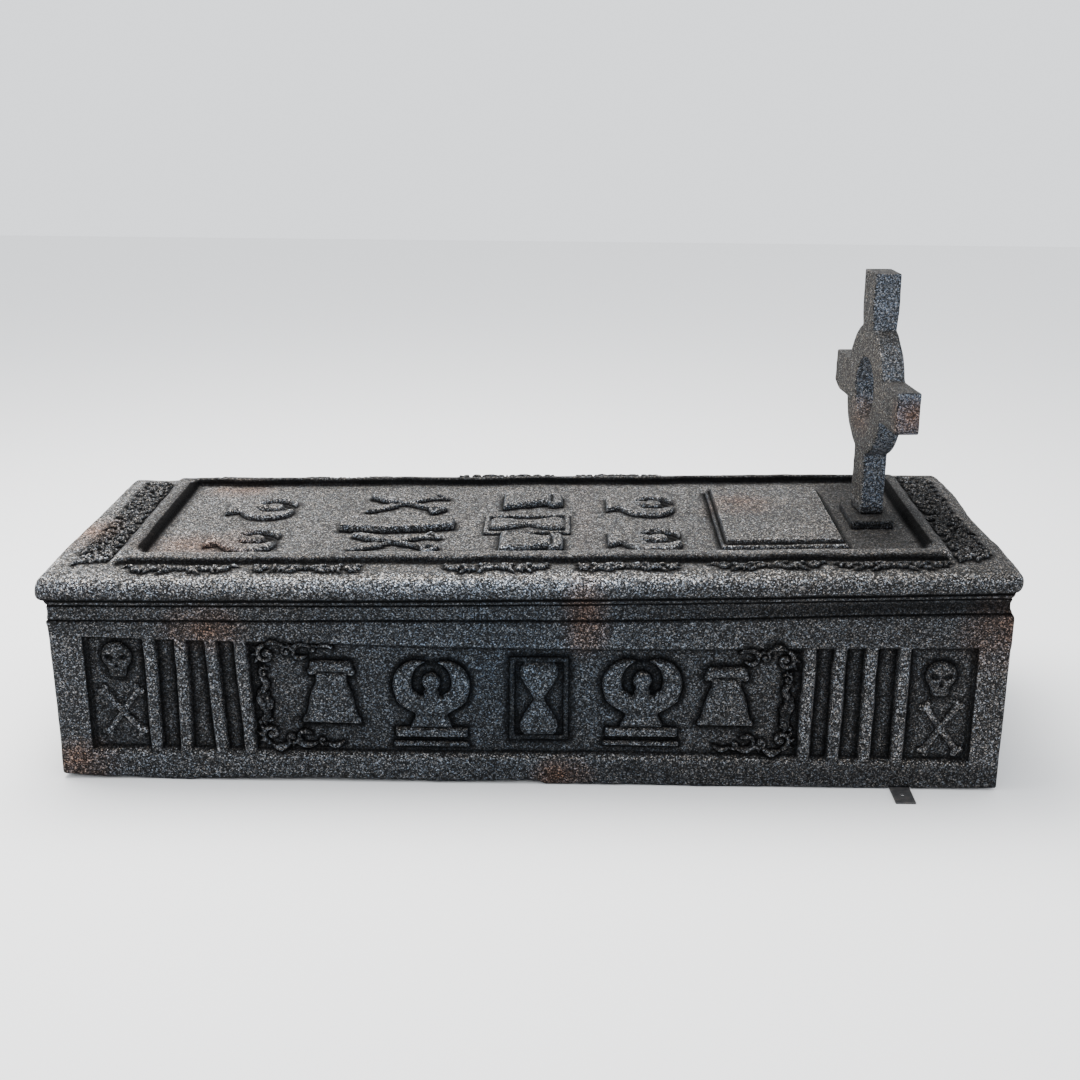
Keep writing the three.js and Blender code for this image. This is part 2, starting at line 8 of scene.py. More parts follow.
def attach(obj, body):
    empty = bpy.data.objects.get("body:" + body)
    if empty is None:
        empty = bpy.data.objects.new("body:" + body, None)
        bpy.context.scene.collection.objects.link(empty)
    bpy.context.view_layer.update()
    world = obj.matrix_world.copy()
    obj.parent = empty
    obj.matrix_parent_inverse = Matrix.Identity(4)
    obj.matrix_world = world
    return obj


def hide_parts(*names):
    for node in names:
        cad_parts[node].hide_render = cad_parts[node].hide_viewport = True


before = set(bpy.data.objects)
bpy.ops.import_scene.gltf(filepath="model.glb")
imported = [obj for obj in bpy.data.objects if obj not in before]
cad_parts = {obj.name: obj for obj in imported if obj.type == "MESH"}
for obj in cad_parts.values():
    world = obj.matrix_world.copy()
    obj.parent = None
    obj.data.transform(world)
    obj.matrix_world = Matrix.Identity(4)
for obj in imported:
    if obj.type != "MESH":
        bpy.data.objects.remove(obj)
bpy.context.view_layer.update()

# Sizes are in millimetres here, in the frame of the slab's centre; the mesh is written in metres.
MM = 0.001
SHIFT = Vector((0.514, 23.0, 0.0))
HALF_X, HALF_Y = 977.0, 378.0
WALL = 45.0
SEAT_FOOT, SEAT_HEAD = 396.0, 437.0
SEAT_ANGLE = atan2(SEAT_HEAD - SEAT_FOOT, 2 * HALF_X)
SEAT_HEIGHT = (SEAT_FOOT + SEAT_HEAD) / 2
LID_X, LID_Y, LID_T = 1000.0, 400.0, 49.0
STEP = 1.5
SUNK = 3.0


def unit(x):
    return np.clip(x, 0, 1)


def hump(x, width):
    return np.exp(-0.5 * (x / width) ** 2)


def turned(u, v, angle):
    """Coordinates in axes that are turned by an angle."""
    c, s = cos(angle), sin(angle)
    return u * c + v * s, -u * s + v * c


def drawn(shape, *sizes):
    return lambda u, v: shape(u, v, *sizes)


# Curves along the tomb, read at a few stations
def along(x, stations):
    xs, vs = zip(*stations)
    return np.interp(x, xs, vs)


def seat_line(x):
    return SEAT_HEIGHT + np.asarray(x) * tan(SEAT_ANGLE)


def sag(x):
    """The slab's underside and the wall's top hang a little in the middle."""
    return -6.5 * unit(1 - (np.asarray(x) / 1000.0) ** 2) ** 1.3


def top_sag(x):
    return -2.7 - 0.0022 * np.asarray(x)


# Signed distances, negative inside
def circle(u, v, cx, cy, r):
    return np.hypot(u - cx, v - cy) - r


def oval(u, v, cx, cy, rx, ry):
    k = np.hypot((u - cx) / rx, (v - cy) / ry)
    return (k - 1) * min(rx, ry)


def block(u, v, x0, y0, x1, y1, r=0.0):
    qx = np.abs(u - (x0 + x1) / 2) - (x1 - x0) / 2 + r
    qy = np.abs(v - (y0 + y1) / 2) - (y1 - y0) / 2 + r
    return np.hypot(np.maximum(qx, 0), np.maximum(qy, 0)) + np.minimum(np.maximum(qx, qy), 0) - r


def rod(u, v, a, b, ra, rb=None):
    rb = ra if rb is None else rb
    ax, ay = a
    bx, by = b
    dx, dy = bx - ax, by - ay
    t = unit(((u - ax) * dx + (v - ay) * dy) / (dx * dx + dy * dy + 1e-9))
    return np.hypot(u - ax - t * dx, v - ay - t * dy) - (ra + (rb - ra) * t)


def chain(u, v, points, r0, r1):
    n = len(points) - 1
    d = np.full(u.shape, 1e3)
    for i in range(n):
        ra = r0 + (r1 - r0) * i / n
        rb = r0 + (r1 - r0) * (i + 1) / n
        d = np.minimum(d, rod(u, v, points[i], points[i + 1], ra, rb))
    return d


def polygon(u, v, points):
    d = np.full(u.shape, 1e6)
    sign = np.ones(u.shape)
    n = len(points)
    for i in range(n):
        ax, ay = points[i]
        bx, by = points[i - 1]
        ex, ey = bx - ax, by - ay
        wx, wy = u - ax, v - ay
        t = unit((wx * ex + wy * ey) / (ex * ex + ey * ey))
        d = np.minimum(d, (wx - t * ex) ** 2 + (wy - t * ey) ** 2)
        c1, c2, c3 = v >= ay, v < by, ex * wy > ey * wx
        flip = (c1 & c2 & c3) | (~c1 & ~c2 & ~c3)
        sign = np.where(flip, -sign, sign)
    return sign * np.sqrt(d)


def blend(a, b, k):
    h = unit(0.5 + 0.5 * (b - a) / k)
    return b + (a - b) * h - k * h * (1 - h)


def mirror(stations):
    return [(w, h) for w, h in stations] + [(-w, h) for w, h in reversed(stations)]


def spiral(r0, r1, turns, n=18):
    points = []
    for i in range(n + 1):
        t = i / n
        a = turns * 2 * pi * t
        r = r0 + (r1 - r0) * t ** 0.8
        points.append((r * cos(a), r * sin(a)))
    return points


def swell(d, edge):
    s = unit(-d / edge)
    return np.sqrt(unit(1 - (1 - s) ** 2))


# Smooth noise, the same at every run
def noise(x, y, cell, seed):
    n = 256
    table = np.random.default_rng(seed).random((n, n)).astype(np.float32) * 2 - 1
    gx, gy = np.asarray(x) / cell, np.asarray(y) / cell
    ix, iy = np.floor(gx).astype(int), np.floor(gy).astype(int)
    fx, fy = gx - ix, gy - iy
    fx, fy = fx * fx * (3 - 2 * fx), fy * fy * (3 - 2 * fy)
    a = table[iy % n, ix % n]
    b = table[iy % n, (ix + 1) % n]
    c = table[(iy + 1) % n, ix % n]
    d = table[(iy + 1) % n, (ix + 1) % n]
    return (a * (1 - fx) + b * fx) * (1 - fy) + (c * (1 - fx) + d * fx) * fy


def blur(m, sigma):
    r = int(3 * sigma / STEP) + 1
    k = np.exp(-0.5 * (np.arange(-r, r + 1) * STEP / sigma) ** 2)
    k /= k.sum()
    for axis in (0, 1):
        padded = np.pad(m, [(r, r) if a == axis else (0, 0) for a in (0, 1)], mode="edge")
        out = np.zeros_like(m)
        n = m.shape[axis]
        for i, w in enumerate(k):
            out += w * (padded[i:i + n] if axis == 0 else padded[:, i:i + n])
        m = out
    return m


class Relief:
    """Height maps in millimetres over a flat face: its ground, the devices on it, and its dark wash with
    painted shade.
    """

    def __init__(self, x0, x1, y0, y1):
        self.x = np.arange(x0, x1 + STEP / 2, STEP)
        self.y = np.arange(y0, y1 + STEP / 2, STEP)
        self.X, self.Y = np.meshgrid(self.x, self.y)
        self.h = np.zeros(self.X.shape)
        self.up = np.full(self.X.shape, -SUNK)
        self.soot = np.zeros(self.X.shape)
        self.raised_wash_and_shade = np.zeros(self.X.shape)

    def window(self, x0, x1, y0, y1):
        i0, i1 = np.searchsorted(self.x, [x0, x1])
        j0, j1 = np.searchsorted(self.y, [y0, y1])
        return slice(j0, j1), slice(i0, i1)

    def local(self, at, reach, turn, scale, flip):
        w = self.window(at[0] - reach, at[0] + reach, at[1] - reach, at[1] + reach)
        u, v = turned(self.X[w] - at[0], self.Y[w] - at[1], turn)
        return w, u / scale * flip, v / scale

    def darken(self, amount, w=...):
        self.soot[w] = np.maximum(self.soot[w], amount)

    def put(self, shape, at, half, height, edge, turn=0.0, soot=0.0, spread=7.0, scale=1.0, flip=1, dark_wash_and_shade=0.0):
        """Raises a shape on the ground; shape(u, v) gives its distance, drawn about its own origin."""
        w, u, v = self.local(at, half * scale + 4 * spread, turn, scale, flip)
        d = shape(u, v) * scale
        self.up[w] = np.maximum(self.up[w], np.where(d < 0, height * swell(d, edge), -1.6 * d))
        # a halo of dark wash and painted shade round the shape
        self.darken(soot * hump(np.maximum(d, 0), spread), w)
        # dark wash with painted shade strongest at the shape's rim, so that it looks rounded
        if dark_wash_and_shade:
            self.raised_wash_and_shade[w] = np.maximum(self.raised_wash_and_shade[w], (d < 0.5) * dark_wash_and_shade * (1.3 - swell(d, edge * 1.3)))

    def cut(self, shape, at, half, depth, edge, turn=0.0, soot=0.0, scale=1.0, flip=1):
        w, u, v = self.local(at, half * scale + 10, turn, scale, flip)
        d = shape(u, v) * scale
        self.up[w] -= depth * swell(d, edge)
        # dark wash and painted shade in the cut
        self.raised_wash_and_shade[w] = np.maximum(self.raised_wash_and_shade[w], soot * unit(1 - (d + 1) / 4))

    def read(self, m, x, y):
        gx = np.clip((x - self.x[0]) / STEP, 0, len(self.x) - 1.001)
        gy = np.clip((y - self.y[0]) / STEP, 0, len(self.y) - 1.001)
        ix, iy = gx.astype(int), gy.astype(int)
        fx, fy = gx - ix, gy - iy
        return (m[iy, ix] * (1 - fx) + m[iy, ix + 1] * fx) * (1 - fy) + (
            m[iy + 1, ix] * (1 - fx) + m[iy + 1, ix + 1] * fx) * fy

    def finish(self, seed):
        x, y = self.X, self.Y
        self.h = blur(self.h, 1.2)
        self.h += 1.2 * noise(x, y, 75, seed) + 0.55 * noise(x, y, 21, seed + 1)
        self.up = np.maximum(blur(self.up, 1.25), -SUNK)
        raised = self.up > 0
        self.up += raised * (0.5 * noise(x, y, 13, seed + 2) + 0.3 * noise(x, y, 5, seed + 3))
        whole = self.h + np.maximum(self.up, 0)
        # hollows and ridges, which the material darkens with painted shade and lightens with a painted
        # highlight
        self.cavity = np.clip((blur(whole, 6) - whole) / 5.0, -1, 1)
        # dark wash and painted shade at the foot of the raised shapes
        foot = unit(1.15 - self.up / 5.5)
        self.raised_wash_and_shade = np.maximum(self.raised_wash_and_shade, foot * unit(self.soot * 1.3))


# Devices, each drawn upright about its foot
def wings(u, v):
    d = np.minimum(circle(u, v, -28, 82, 50), circle(u, v, 28, 82, 50))
    taper = polygon(u, v, [(30, 24), (68, 52), (-68, 52), (-30, 24)])
    d = blend(d, taper, 12)
    foot = polygon(u, v, [(42, -2), (41, 3), (29, 27), (-29, 27), (-41, 3), (-42, -2)])
    d = blend(d, foot, 5)
    return np.maximum(d, -wing_hollow(u, v))


def wing_hollow(u, v):
    ring = np.abs(np.hypot(u, v - 90) - 29) - 10.5
    low = 74 - v - 0.1 * np.abs(u)
    arch = blend(np.maximum(ring, low), rod(u, v, (-29, 80), (-20, 66), 9, 5), 4)
    arch = blend(arch, rod(u, v, (29, 80), (20, 66), 9, 5), 4)
    cleft = polygon(u, v, [(-3, 118), (7, 118), (3, 140), (-7, 140)])
    return np.minimum(arch, cleft + 1)


def head_boss(u, v):
    return blend(circle(u, v, 1, 91, 16.5), rod(u, v, (1, 84), (0, 58), 10, 17), 6)


BELL = mirror([
    (60, -1), (63, 4), (59, 11), (53, 20), (49, 36), (46, 54), (42, 68), (37, 80), (32, 91), (32, 100),
    (34, 112),
])


def bell(u, v):
    crown = block(u, v, -45, 112, 45, 138, 12)
    for s in (-1, 1):
        crown = blend(crown, circle(u, v, s * 40, 113, 9), 4)
    return np.minimum(polygon(u, v, BELL), crown)


def glass(u, v, h=190):
    m = h / 2
    low = [(30, 13), (37, 20), (40, 32), (38, 46), (30, 62), (18, m - 14)]
    return polygon(u, v, mirror(low + [(11, m)] + [(w, h - z) for w, z in reversed(low)]))


def glass_frame(u, v, half=62, h=190):
    outer = block(u, v, -half, 0, half, h, 4)
    inner = block(u, v, -half + 13, 13, half - 13, h - 13, 3)
    return np.maximum(outer, -inner)


def bone(u, v, a, half=61):
    x, y = turned(u, v, a)
    d = block(x, y, -half, -7.0, half, 7.0, 5)
    for k in (-1, 1):
        d = blend(d, circle(x, y, k * half, 7, 7.5), 4)
        d = blend(d, circle(x, y, k * half, -7, 7.5), 4)
    return d


def skull(u, v):
    d = oval(u, v, 0, 5, 31, 29)
    return blend(d, block(u, v, -18, -39, 18, -8, 9), 9)


def spade(u, v, a):
    x, y = turned(u, v, a)
    d = block(x, y, -30, -5, 88, 5, 4)
    blade = polygon(x, y, [(-106, 0), (-96, -11), (-60, -15), (-26, -14), (-26, 14), (-60, 15), (-96, 11)])
    grip = polygon(x, y, [(66, 0), (98, -27), (108, -20), (108, 20), (98, 27)])
    hole = polygon(x, y, [(80, 0), (97, -16), (99, 0), (97, 16)])
    return np.minimum(np.minimum(d, blade), np.maximum(grip, -hole))


def coffin(u, v):
    return polygon(u, v, [(-120, -32), (-10, -47), (131, -29), (131, 29), (-10, 48), (-120, 32)])


# Scroll ornament: volutes, leaflets and beads
SCROLL_EDGE = 3.4


def volute(u, v, r, turns, leaves):
    """A spiral of one stroke that winds in to a bead, with leaflets round its outer side."""
    d = chain(u, v, spiral(r * 0.82, r * 0.16, turns), r * 0.21, r * 0.15)
    d = np.minimum(d, circle(u, v, 0, 0, r * 0.24))
    for k in range(leaves):
        a = 0.55 + k * 0.62
        x, y = r * 0.86 * cos(a), r * 0.86 * sin(a)
        b = a + 0.5
        tip = x + r * 0.42 * cos(b), y + r * 0.42 * sin(b)
        d = np.minimum(d, rod(u, v, (x, y), tip, r * 0.15, r * 0.05))
    return d


def leaf(u, v, length, width, bend, n=8):
    """A curved leaf, thin at its tip."""
    points = [((i / n - 0.5) * length, bend * sin(pi * i / n) * length) for i in range(n + 1)]
    d = np.full(u.shape, 1e3)
    for i in range(n):
        wa, wb = (width / 2 * sin(pi * (i * 0.85 + k) / (n + 1)) for k in (1.0, 1.85))
        d = np.minimum(d, rod(u, v, points[i], points[i + 1], wa, wb))
    return d


def palmette(u, v, r, n, spread):
    """Lobes that fan out from a bead."""
    d = circle(u, v, 0, 0, r * 0.2)
    for k in range(n):
        a = pi / 2 + spread * (k / (n - 1) - 0.5)
        f = 1 - 0.18 * abs(k / (n - 1) - 0.5) * 2
        root, tip = ((at * cos(a), at * sin(a)) for at in (r * 0.34, r * f - r * 0.11))
        d = np.minimum(d, rod(u, v, root, tip, r * 0.055, r * 0.115))
    return d


def strip(face, centre, length, width, turn, seed, h=9.0):
    """A border of scrolls, mirrored about its middle: volutes with curved leaves between them."""
    rng = np.random.default_rng(seed)
    cx, cy = centre
    ct, st = cos(turn), sin(turn)
    lanes = 2 if width > 66 else 1

    def add(shape, u, v, half, a, flip, k=1.0):
        at = cx + u * ct - v * st, cy + u * st + v * ct
        # a halo of dark wash and painted shade round each scroll, and dark wash with painted shade strongest
        # at its rim
        face.put(shape, at, half, h * k, SCROLL_EDGE, turn=turn + a, soot=1.0, spread=4.5, flip=flip,
                 dark_wash_and_shade=0.8 if lanes == 1 else 0.6)

    r = width * 0.41 if lanes == 1 else width * 0.265
    n = max(2, round(length / 2 / (1.9 * r)))
    pitch = length / 2 / n
    for i in range(n):
        for lane in range(lanes):
            du, dv, a, kind, size = rng.random(5)
            u = (i + 0.5) * pitch + (du - 0.5) * 0.3 * r + (lane - 0.5) * (lanes - 1) * 0.5 * r
            v = (lane - 0.5) * (lanes - 1) * width * 0.5 + (dv - 0.5) * 0.3 * r
            curl = drawn(volute, r * (0.86 + 0.2 * size), 1.1, 2)
            for side in (-1, 1):
                add(curl, side * u, v, 1.5 * r, side * 6.28 * a, side)
                for q in (-1, 1) if i < n - 1 else (1,):
                    b = side * (0.35 + 1.2 * kind) * q
                    blade = drawn(leaf, 1.3 * r, r * 0.4, 0.22 * q)
                    add(blade, side * (u + 0.9 * r), v + q * 0.55 * r, 1.2 * r, b, side, 0.9)
    add(drawn(palmette, r * 1.15, 5, 2.2), 0, -0.1 * width, 1.5 * r, 0.0, 1, 1.1)


def corner(face, at, sx, sz, along_x, down):
    """Volutes and leaves in an L from a panel's corner."""
    x0, z0 = at

    def add(shape, u, v, half, a=0.0):
        turn = sx * a if sz > 0 else pi - sx * a
        # a halo of dark wash and painted shade round each scroll, and dark wash with painted shade strongest
        # at its rim
        face.put(shape, (x0 + sx * u, z0 - sz * v), half, 10, SCROLL_EDGE, turn=turn, soot=1.0, spread=5.0,
                 flip=sx if sz > 0 else -sx, dark_wash_and_shade=0.7)

    add(drawn(volute, 25, 1.2, 3), 28, 30, 36, 1.9)
    add(drawn(volute, 19, 1.2, 3), 70, 22, 28, -0.4)
    add(drawn(leaf, 38, 15, 0.25), 46, 9, 32, -0.1)
    add(drawn(leaf, 44, 14, 0.22), 100, 15, 32, 0.15)
    add(drawn(leaf, 30, 11, -0.25), 96, 29, 26, -0.2)
    if along_x > 120:
        add(drawn(volute, 13, 1.1, 2), along_x - 26, 17, 20, 0.5)
        add(drawn(leaf, 34, 12, 0.2), along_x, 13, 26, -0.1)
    add(drawn(volute, 15, 1.1, 2), 22, 70, 24, 0.8)
    n = max(1, round((down - 84) / 34))
    for i in range(n):
        v = 88 + i * (down - 88) / n
        add(drawn(leaf, 34, 15, 0.3 * (-1) ** i), 17 + 5 * (i % 2), v + 8, 28, -1.35 + 0.4 * (i % 2))
        add(drawn(leaf, 26, 12, -0.3 * (-1) ** i), 28 - 6 * (i % 2), v + 20, 26, -1.9 - 0.3 * (i % 2))
        add(drawn(circle, 0, 0, 6), 13 + 16 * (i % 2), v + 26, 10)


# The front of the chest, over nominal heights that are later drawn to the real, sagging lines
P_LEFT, P_RIGHT, P_LOW, P_TOP = -909.0, 915.0, 67.0, 307.0
RAIL_AT, LIP_AT, SEAM_AT, FACE_TOP = 350.0, 383.0, 398.0, 408.0
DEPTH, END_DEPTH = 18.0, 14.0


def panel(face, x0, x1, depth, low=P_LOW, top=P_TOP):
    X, Y = face.X, face.Y
    side = np.minimum(unit((X - x0) / 5), unit((x1 - X) / 5))
    side = np.minimum(side, unit((top - Y) / 4))
    ledge = unit((Y - low + 13) / 14) ** 1.2
    face.h -= depth * np.minimum(side, ledge)
    # painted shade with dark wash along the inside of the sunk panel's edges
    inside = np.minimum(np.minimum(X - x0, x1 - X), np.minimum(top - Y, Y - low))
    face.darken(0.95 * np.exp(-np.clip(inside, 0, None) / 9.0) * (inside > -2))


def bars(face, pairs, depth, edge=8.0):
    for top, bottom in pairs:
        x = (top + bottom) / 2
        w = face.window(x - 60, x + 60, 40, 350)
        X, Y = face.X[w], face.Y[w]
        mid = bottom + (top - bottom) * (Y - P_LOW) / (P_TOP - P_LOW)
        mid = mid + 1.2 * noise(X * 0, Y, 60, int(x) % 97)
        d = block(X - mid, Y, -13.5, P_LOW - 9, 13.5, P_TOP + 40, 8)
        lift = -depth + (depth - 0.8) * swell(d, edge)
        face.h[w] = np.where(d < 0, np.maximum(face.h[w], lift), face.h[w])
        # dark wash and painted shade in the slots beside the bars
        dark_wash_and_shade = 0.9 * hump(np.maximum(d - 1, 0), 10)
        inside = (Y > P_LOW + 1) & (Y < P_TOP)
        face.soot[w] = np.where(d < 0, face.soot[w] * unit(1 + d / 3),
                                np.maximum(face.soot[w], dark_wash_and_shade * inside))


def make_front():
    f = Relief(-LID_X, LID_X, 0, FACE_TOP)
    panel(f, P_LEFT, P_RIGHT, DEPTH)
    # painted shade with dark wash on the sunk panel's ground; each device below gets a halo of dark wash and
    # painted shade, and the skulls' sockets, nose and teeth painted shade
    f.darken(0.22 * ((f.X > P_LEFT) & (f.X < P_RIGHT) & (f.Y > P_LOW + 2) & (f.Y < P_TOP)))
    for x, z in [(-845, 259), (848, 242)]:
        f.put(skull, (x, z), 45, 12, 13, soot=0.85, spread=8, scale=1.04, dark_wash_and_shade=0.5)
        for s in (-1, 1):
            f.cut(drawn(oval, 0, 0, 10, 6), (x + s * 14.5, z + 4), 14, 7, 5, turn=s * 0.25, soot=0.72)
        f.cut(drawn(polygon, [(-5, -6), (5, -6), (0, 6)]), (x, z - 12), 10, 5, 3, soot=0.7)
        for k in range(-2, 3):
            f.cut(drawn(block, -1.4, -5, 1.4, 5), (x + 6 * k, z - 28), 8, 2.5, 1.4, soot=0.45)
    for x, z, a, b in [(-840, 145, 0.93, 2.30), (856, 133, 1.0, 2.2)]:
        f.put(drawn(bone, a), (x, z), 80, 8, 6, soot=0.55, spread=5)
        f.put(drawn(bone, b), (x, z), 80, 11, 6, soot=0.55, spread=5)
    bars(f, [(-774, -771), (-709, -707), (-646, -633), (-588, -572), (579, 576), (640, 636), (703, 702),
             (771, 770)], DEPTH)
    for x, z, s in [(-402, 129, 1.0), (411, 133, 0.95)]:
        f.put(bell, (x, z), 140, 13, 12, soot=0.95, spread=9, scale=s, dark_wash_and_shade=0.4)
    for x, z, s in [(-196, 125, 1.03), (238, 130, 1.06)]:
        f.put(lambda u, v: wings(u, v / 1.08), (x, z), 155, 12, 10, soot=0.95, spread=9, scale=s, dark_wash_and_shade=0.4)
        f.put(lambda u, v: head_boss(u, v / 1.08), (x, z), 130, 13, 14, soot=0.5, spread=6, scale=s)
        w = f.window(x - 90, x + 90, z, z + 165)
        d = wing_hollow((f.X[w] - x) / s, (f.Y[w] - z) / s / 1.08)
        # painted shade with dark wash in the hollow round the head
        f.darken(0.62 * unit(-d / 5), w)
        f.put(drawn(block, -75, -24, 75, -3, 3), (x, z), 85, 12, 5, soot=0.95, spread=7, dark_wash_and_shade=0.45)
        f.put(drawn(block, -79, -46, 79, -34, 3), (x, z), 85, 9, 5, soot=0.95, spread=7, dark_wash_and_shade=0.45)
    f.put(glass_frame, (26, 95), 200, 3.5, 7, soot=0.88, spread=9, dark_wash_and_shade=0.3)
    f.put(glass, (26, 95), 200, 11, 17, soot=0.86, spread=10, dark_wash_and_shade=0.4)
    corner(f, (-563, P_TOP), 1, 1, 150, 185)
    corner(f, (-556, 72), 1, -1, 160, 60)
    corner(f, (558, P_TOP), -1, 1, 110, 185)
    corner(f, (556, 72), -1, -1, 150, 60)
    f.finish(11)
    return f


def make_plain(half, x0, x1, depth, places, seed):
    """A face with a sunk panel and upright bars only."""
    f = Relief(-half, half, 0, FACE_TOP)
    panel(f, x0, x1, depth)
    bars(f, [(x, x) for x in places], depth)
    f.finish(seed)
    return f


# The slab's rib and its tablet, as x0, y0, x1, y1 and the corner's round
RIB_OUTER = -864, -305, 878, 337, 26
RIB_INNER = -803, -247, 826, 301, 8
TABLET = 405, -233, 670, 206, 3
TABLET_TOP = 415, -219, 661, 196, 3
STRIPS = [(-815, -595), (-560, -335), (-175, 50), (95, 315), (375, 605), (625, 855)]


def make_top():
    f = Relief(-1001, 1001, -401, 401)
    X, Y = f.X, f.Y
    wave = 2.5 * noise(X, Y, 160, 7)
    outer = block(X, Y + wave, *RIB_OUTER)
    inner = block(X, Y + wave, *RIB_INNER)
    # a roll: steep to the inside, where it gets painted shade with dark wash, but steep to the outside at the
    # front, where it is lower and painted shade lies along its outer foot
    at_front = unit((-Y - 225) / 30) * unit((X + 850) / 30) * unit((870 - X) / 30)
    at_back = unit((Y - 270) / 25)
    out = np.sin(unit(-outer / (30 - 20 * at_front - 8 * at_back)) * pi / 2)
    inn = np.sqrt(unit(1 - (1 - unit(inner / (17 + 10 * at_front - 8 * at_back))) ** 2))
    f.h += (17 - 3 * at_front) * np.minimum(out, inn) * ((outer < 0) & (inner > 0))
    # painted shade with dark wash along the rib's inner foot, and a softer painted shade on the field beside
    # it
    crease = np.where(inner > 0, unit((18 - 10 * at_back - inner) / 4), 0.95 * np.exp(inner / 9))
    crease = np.maximum(crease, 0.38 * np.exp(-np.clip(inner - 17, 0, None) / 26) * (inner > 0))
    f.darken(crease * (1 - 0.8 * at_front))
    # painted shadow of the cross on the lid, round its foot and under its arms, at the head end
    cross_shadow = unit((X - 640) / 60) * unit((815 - X) / 15) * (np.abs(Y - 20) < 270)
    f.darken(0.45 * blur(cross_shadow, 12))
    # painted shade at the outer foot of the front rib
    front_foot = hump(Y + wave + 304, 7) * ((X > -850) & (X < 862))
    f.darken(front_foot)
    turn = -pi / 2
    # each device gets a halo of dark wash and painted shade
    for x, y, k in [(-687, 93, 1.15), (-688, -150, 1.15), (173, 101, 1.16), (170, -160, 1.18)]:
        f.put(wings, (x, y), 145, 12, 8, turn=turn, soot=0.7, spread=5, scale=k)
        f.put(head_boss, (x, y), 120, 13, 13, turn=turn, soot=0.4, spread=4, scale=k)
        w = f.window(x, x + 165, y - 100, y + 100)
        d = wing_hollow(-(f.Y[w] - y) / k, (f.X[w] - x) / k)
        # painted shade with dark wash in the wing hollows
        f.darken(0.9 * unit(-d / 5), w)
    for x, y in [(-62, 136), (-62, -184)]:
        f.put(lambda u, v: bell(u, v / 1.02), (x, y), 140, 16, 11, turn=turn, soot=0.8, spread=5.5,
              scale=0.97)
    for x, y, a in [(-288, 124, 0.62), (-290, -174, 0.52)]:
        f.put(drawn(spade, a), (x, y), 125, 9, 4.5, soot=1.0, spread=4.5)
        f.put(drawn(spade, -a), (x, y), 125, 12, 4.5, soot=1.0, spread=4.5)
    f.put(coffin, (-296, -48), 140, 17, 4, soot=0.85, spread=6)
    f.put(drawn(glass_frame, 71), (-100, -43), 200, 7, 4, turn=turn, soot=0.7, spread=4)
    f.put(glass, (-100, -43), 200, 12, 16, turn=turn, soot=0.6, spread=6)
    f.put(drawn(block, *TABLET), (0, 0), 700, 11, 4, soot=0.95, spread=7)
    f.put(drawn(block, *TABLET_TOP), (0, 0), 700, 20, 3, soot=0.2, spread=3)
    step = block(X, Y, *TABLET_TOP)
    # painted shade at the foot of the tablet's step
    f.raised_wash_and_shade = np.maximum(f.raised_wash_and_shade, hump(step - 2.5, 3))
    for i, (x0, x1) in enumerate(STRIPS):
        strip(f, ((x0 + x1) / 2, -343), x1 - x0 - 10, 45, 0.0, 101 + i)
        strip(f, ((x0 + x1) / 2, 361), x1 - x0, 40, pi, 201 + i, h=(7.0, 7.0, 11.0, 10.0, 5.0, 4.5)[i])
    strip(f, (-899, 14), 622, 68, pi / 2, 301)
    strip(f, (915, 12), 640, 72, pi / 2, 302)
    f.finish(71)
    return f


# Meshes
def add_object(name, data):
    obj = bpy.data.objects.new(name, data)
    bpy.context.scene.collection.objects.link(obj)
    return obj


def apply_modifiers(obj):
    """Works the modifiers into the mesh and shades it smooth."""
    old = obj.data
    depsgraph = bpy.context.evaluated_depsgraph_get()
    done = bpy.data.meshes.new_from_object(obj.evaluated_get(depsgraph))
    obj.modifiers.clear()
    obj.data = done
    bpy.data.meshes.remove(old)
    done.name = obj.name
    done.polygons.foreach_set("use_smooth", np.ones(len(done.polygons), dtype=bool))


def build_mesh(name, verts, faces, keep, **values):
    """A mesh in metres from points in millimetres; keep is the share of faces that a decimation leaves."""
    mesh = bpy.data.meshes.new(name)
    v = (np.asarray(verts, float) + np.array(SHIFT)) * MM
    mesh.vertices.add(len(v))
    mesh.vertices.foreach_set("co", v.ravel())
    sizes = np.array([len(f) for f in faces], dtype=np.int32)
    starts = np.concatenate([[0], np.cumsum(sizes)[:-1]]).astype(np.int32)
    flat = np.concatenate([np.asarray(f, dtype=np.int32) for f in faces])
    mesh.loops.add(len(flat))
    mesh.loops.foreach_set("vertex_index", flat)
    mesh.polygons.add(len(faces))
    mesh.polygons.foreach_set("loop_start", starts)
    mesh.update(calc_edges=True)
    obj = add_object(name, mesh)
    paint(obj, **values)
    obj.modifiers.new("thin", "DECIMATE").ratio = keep
    apply_modifiers(obj)
    return obj


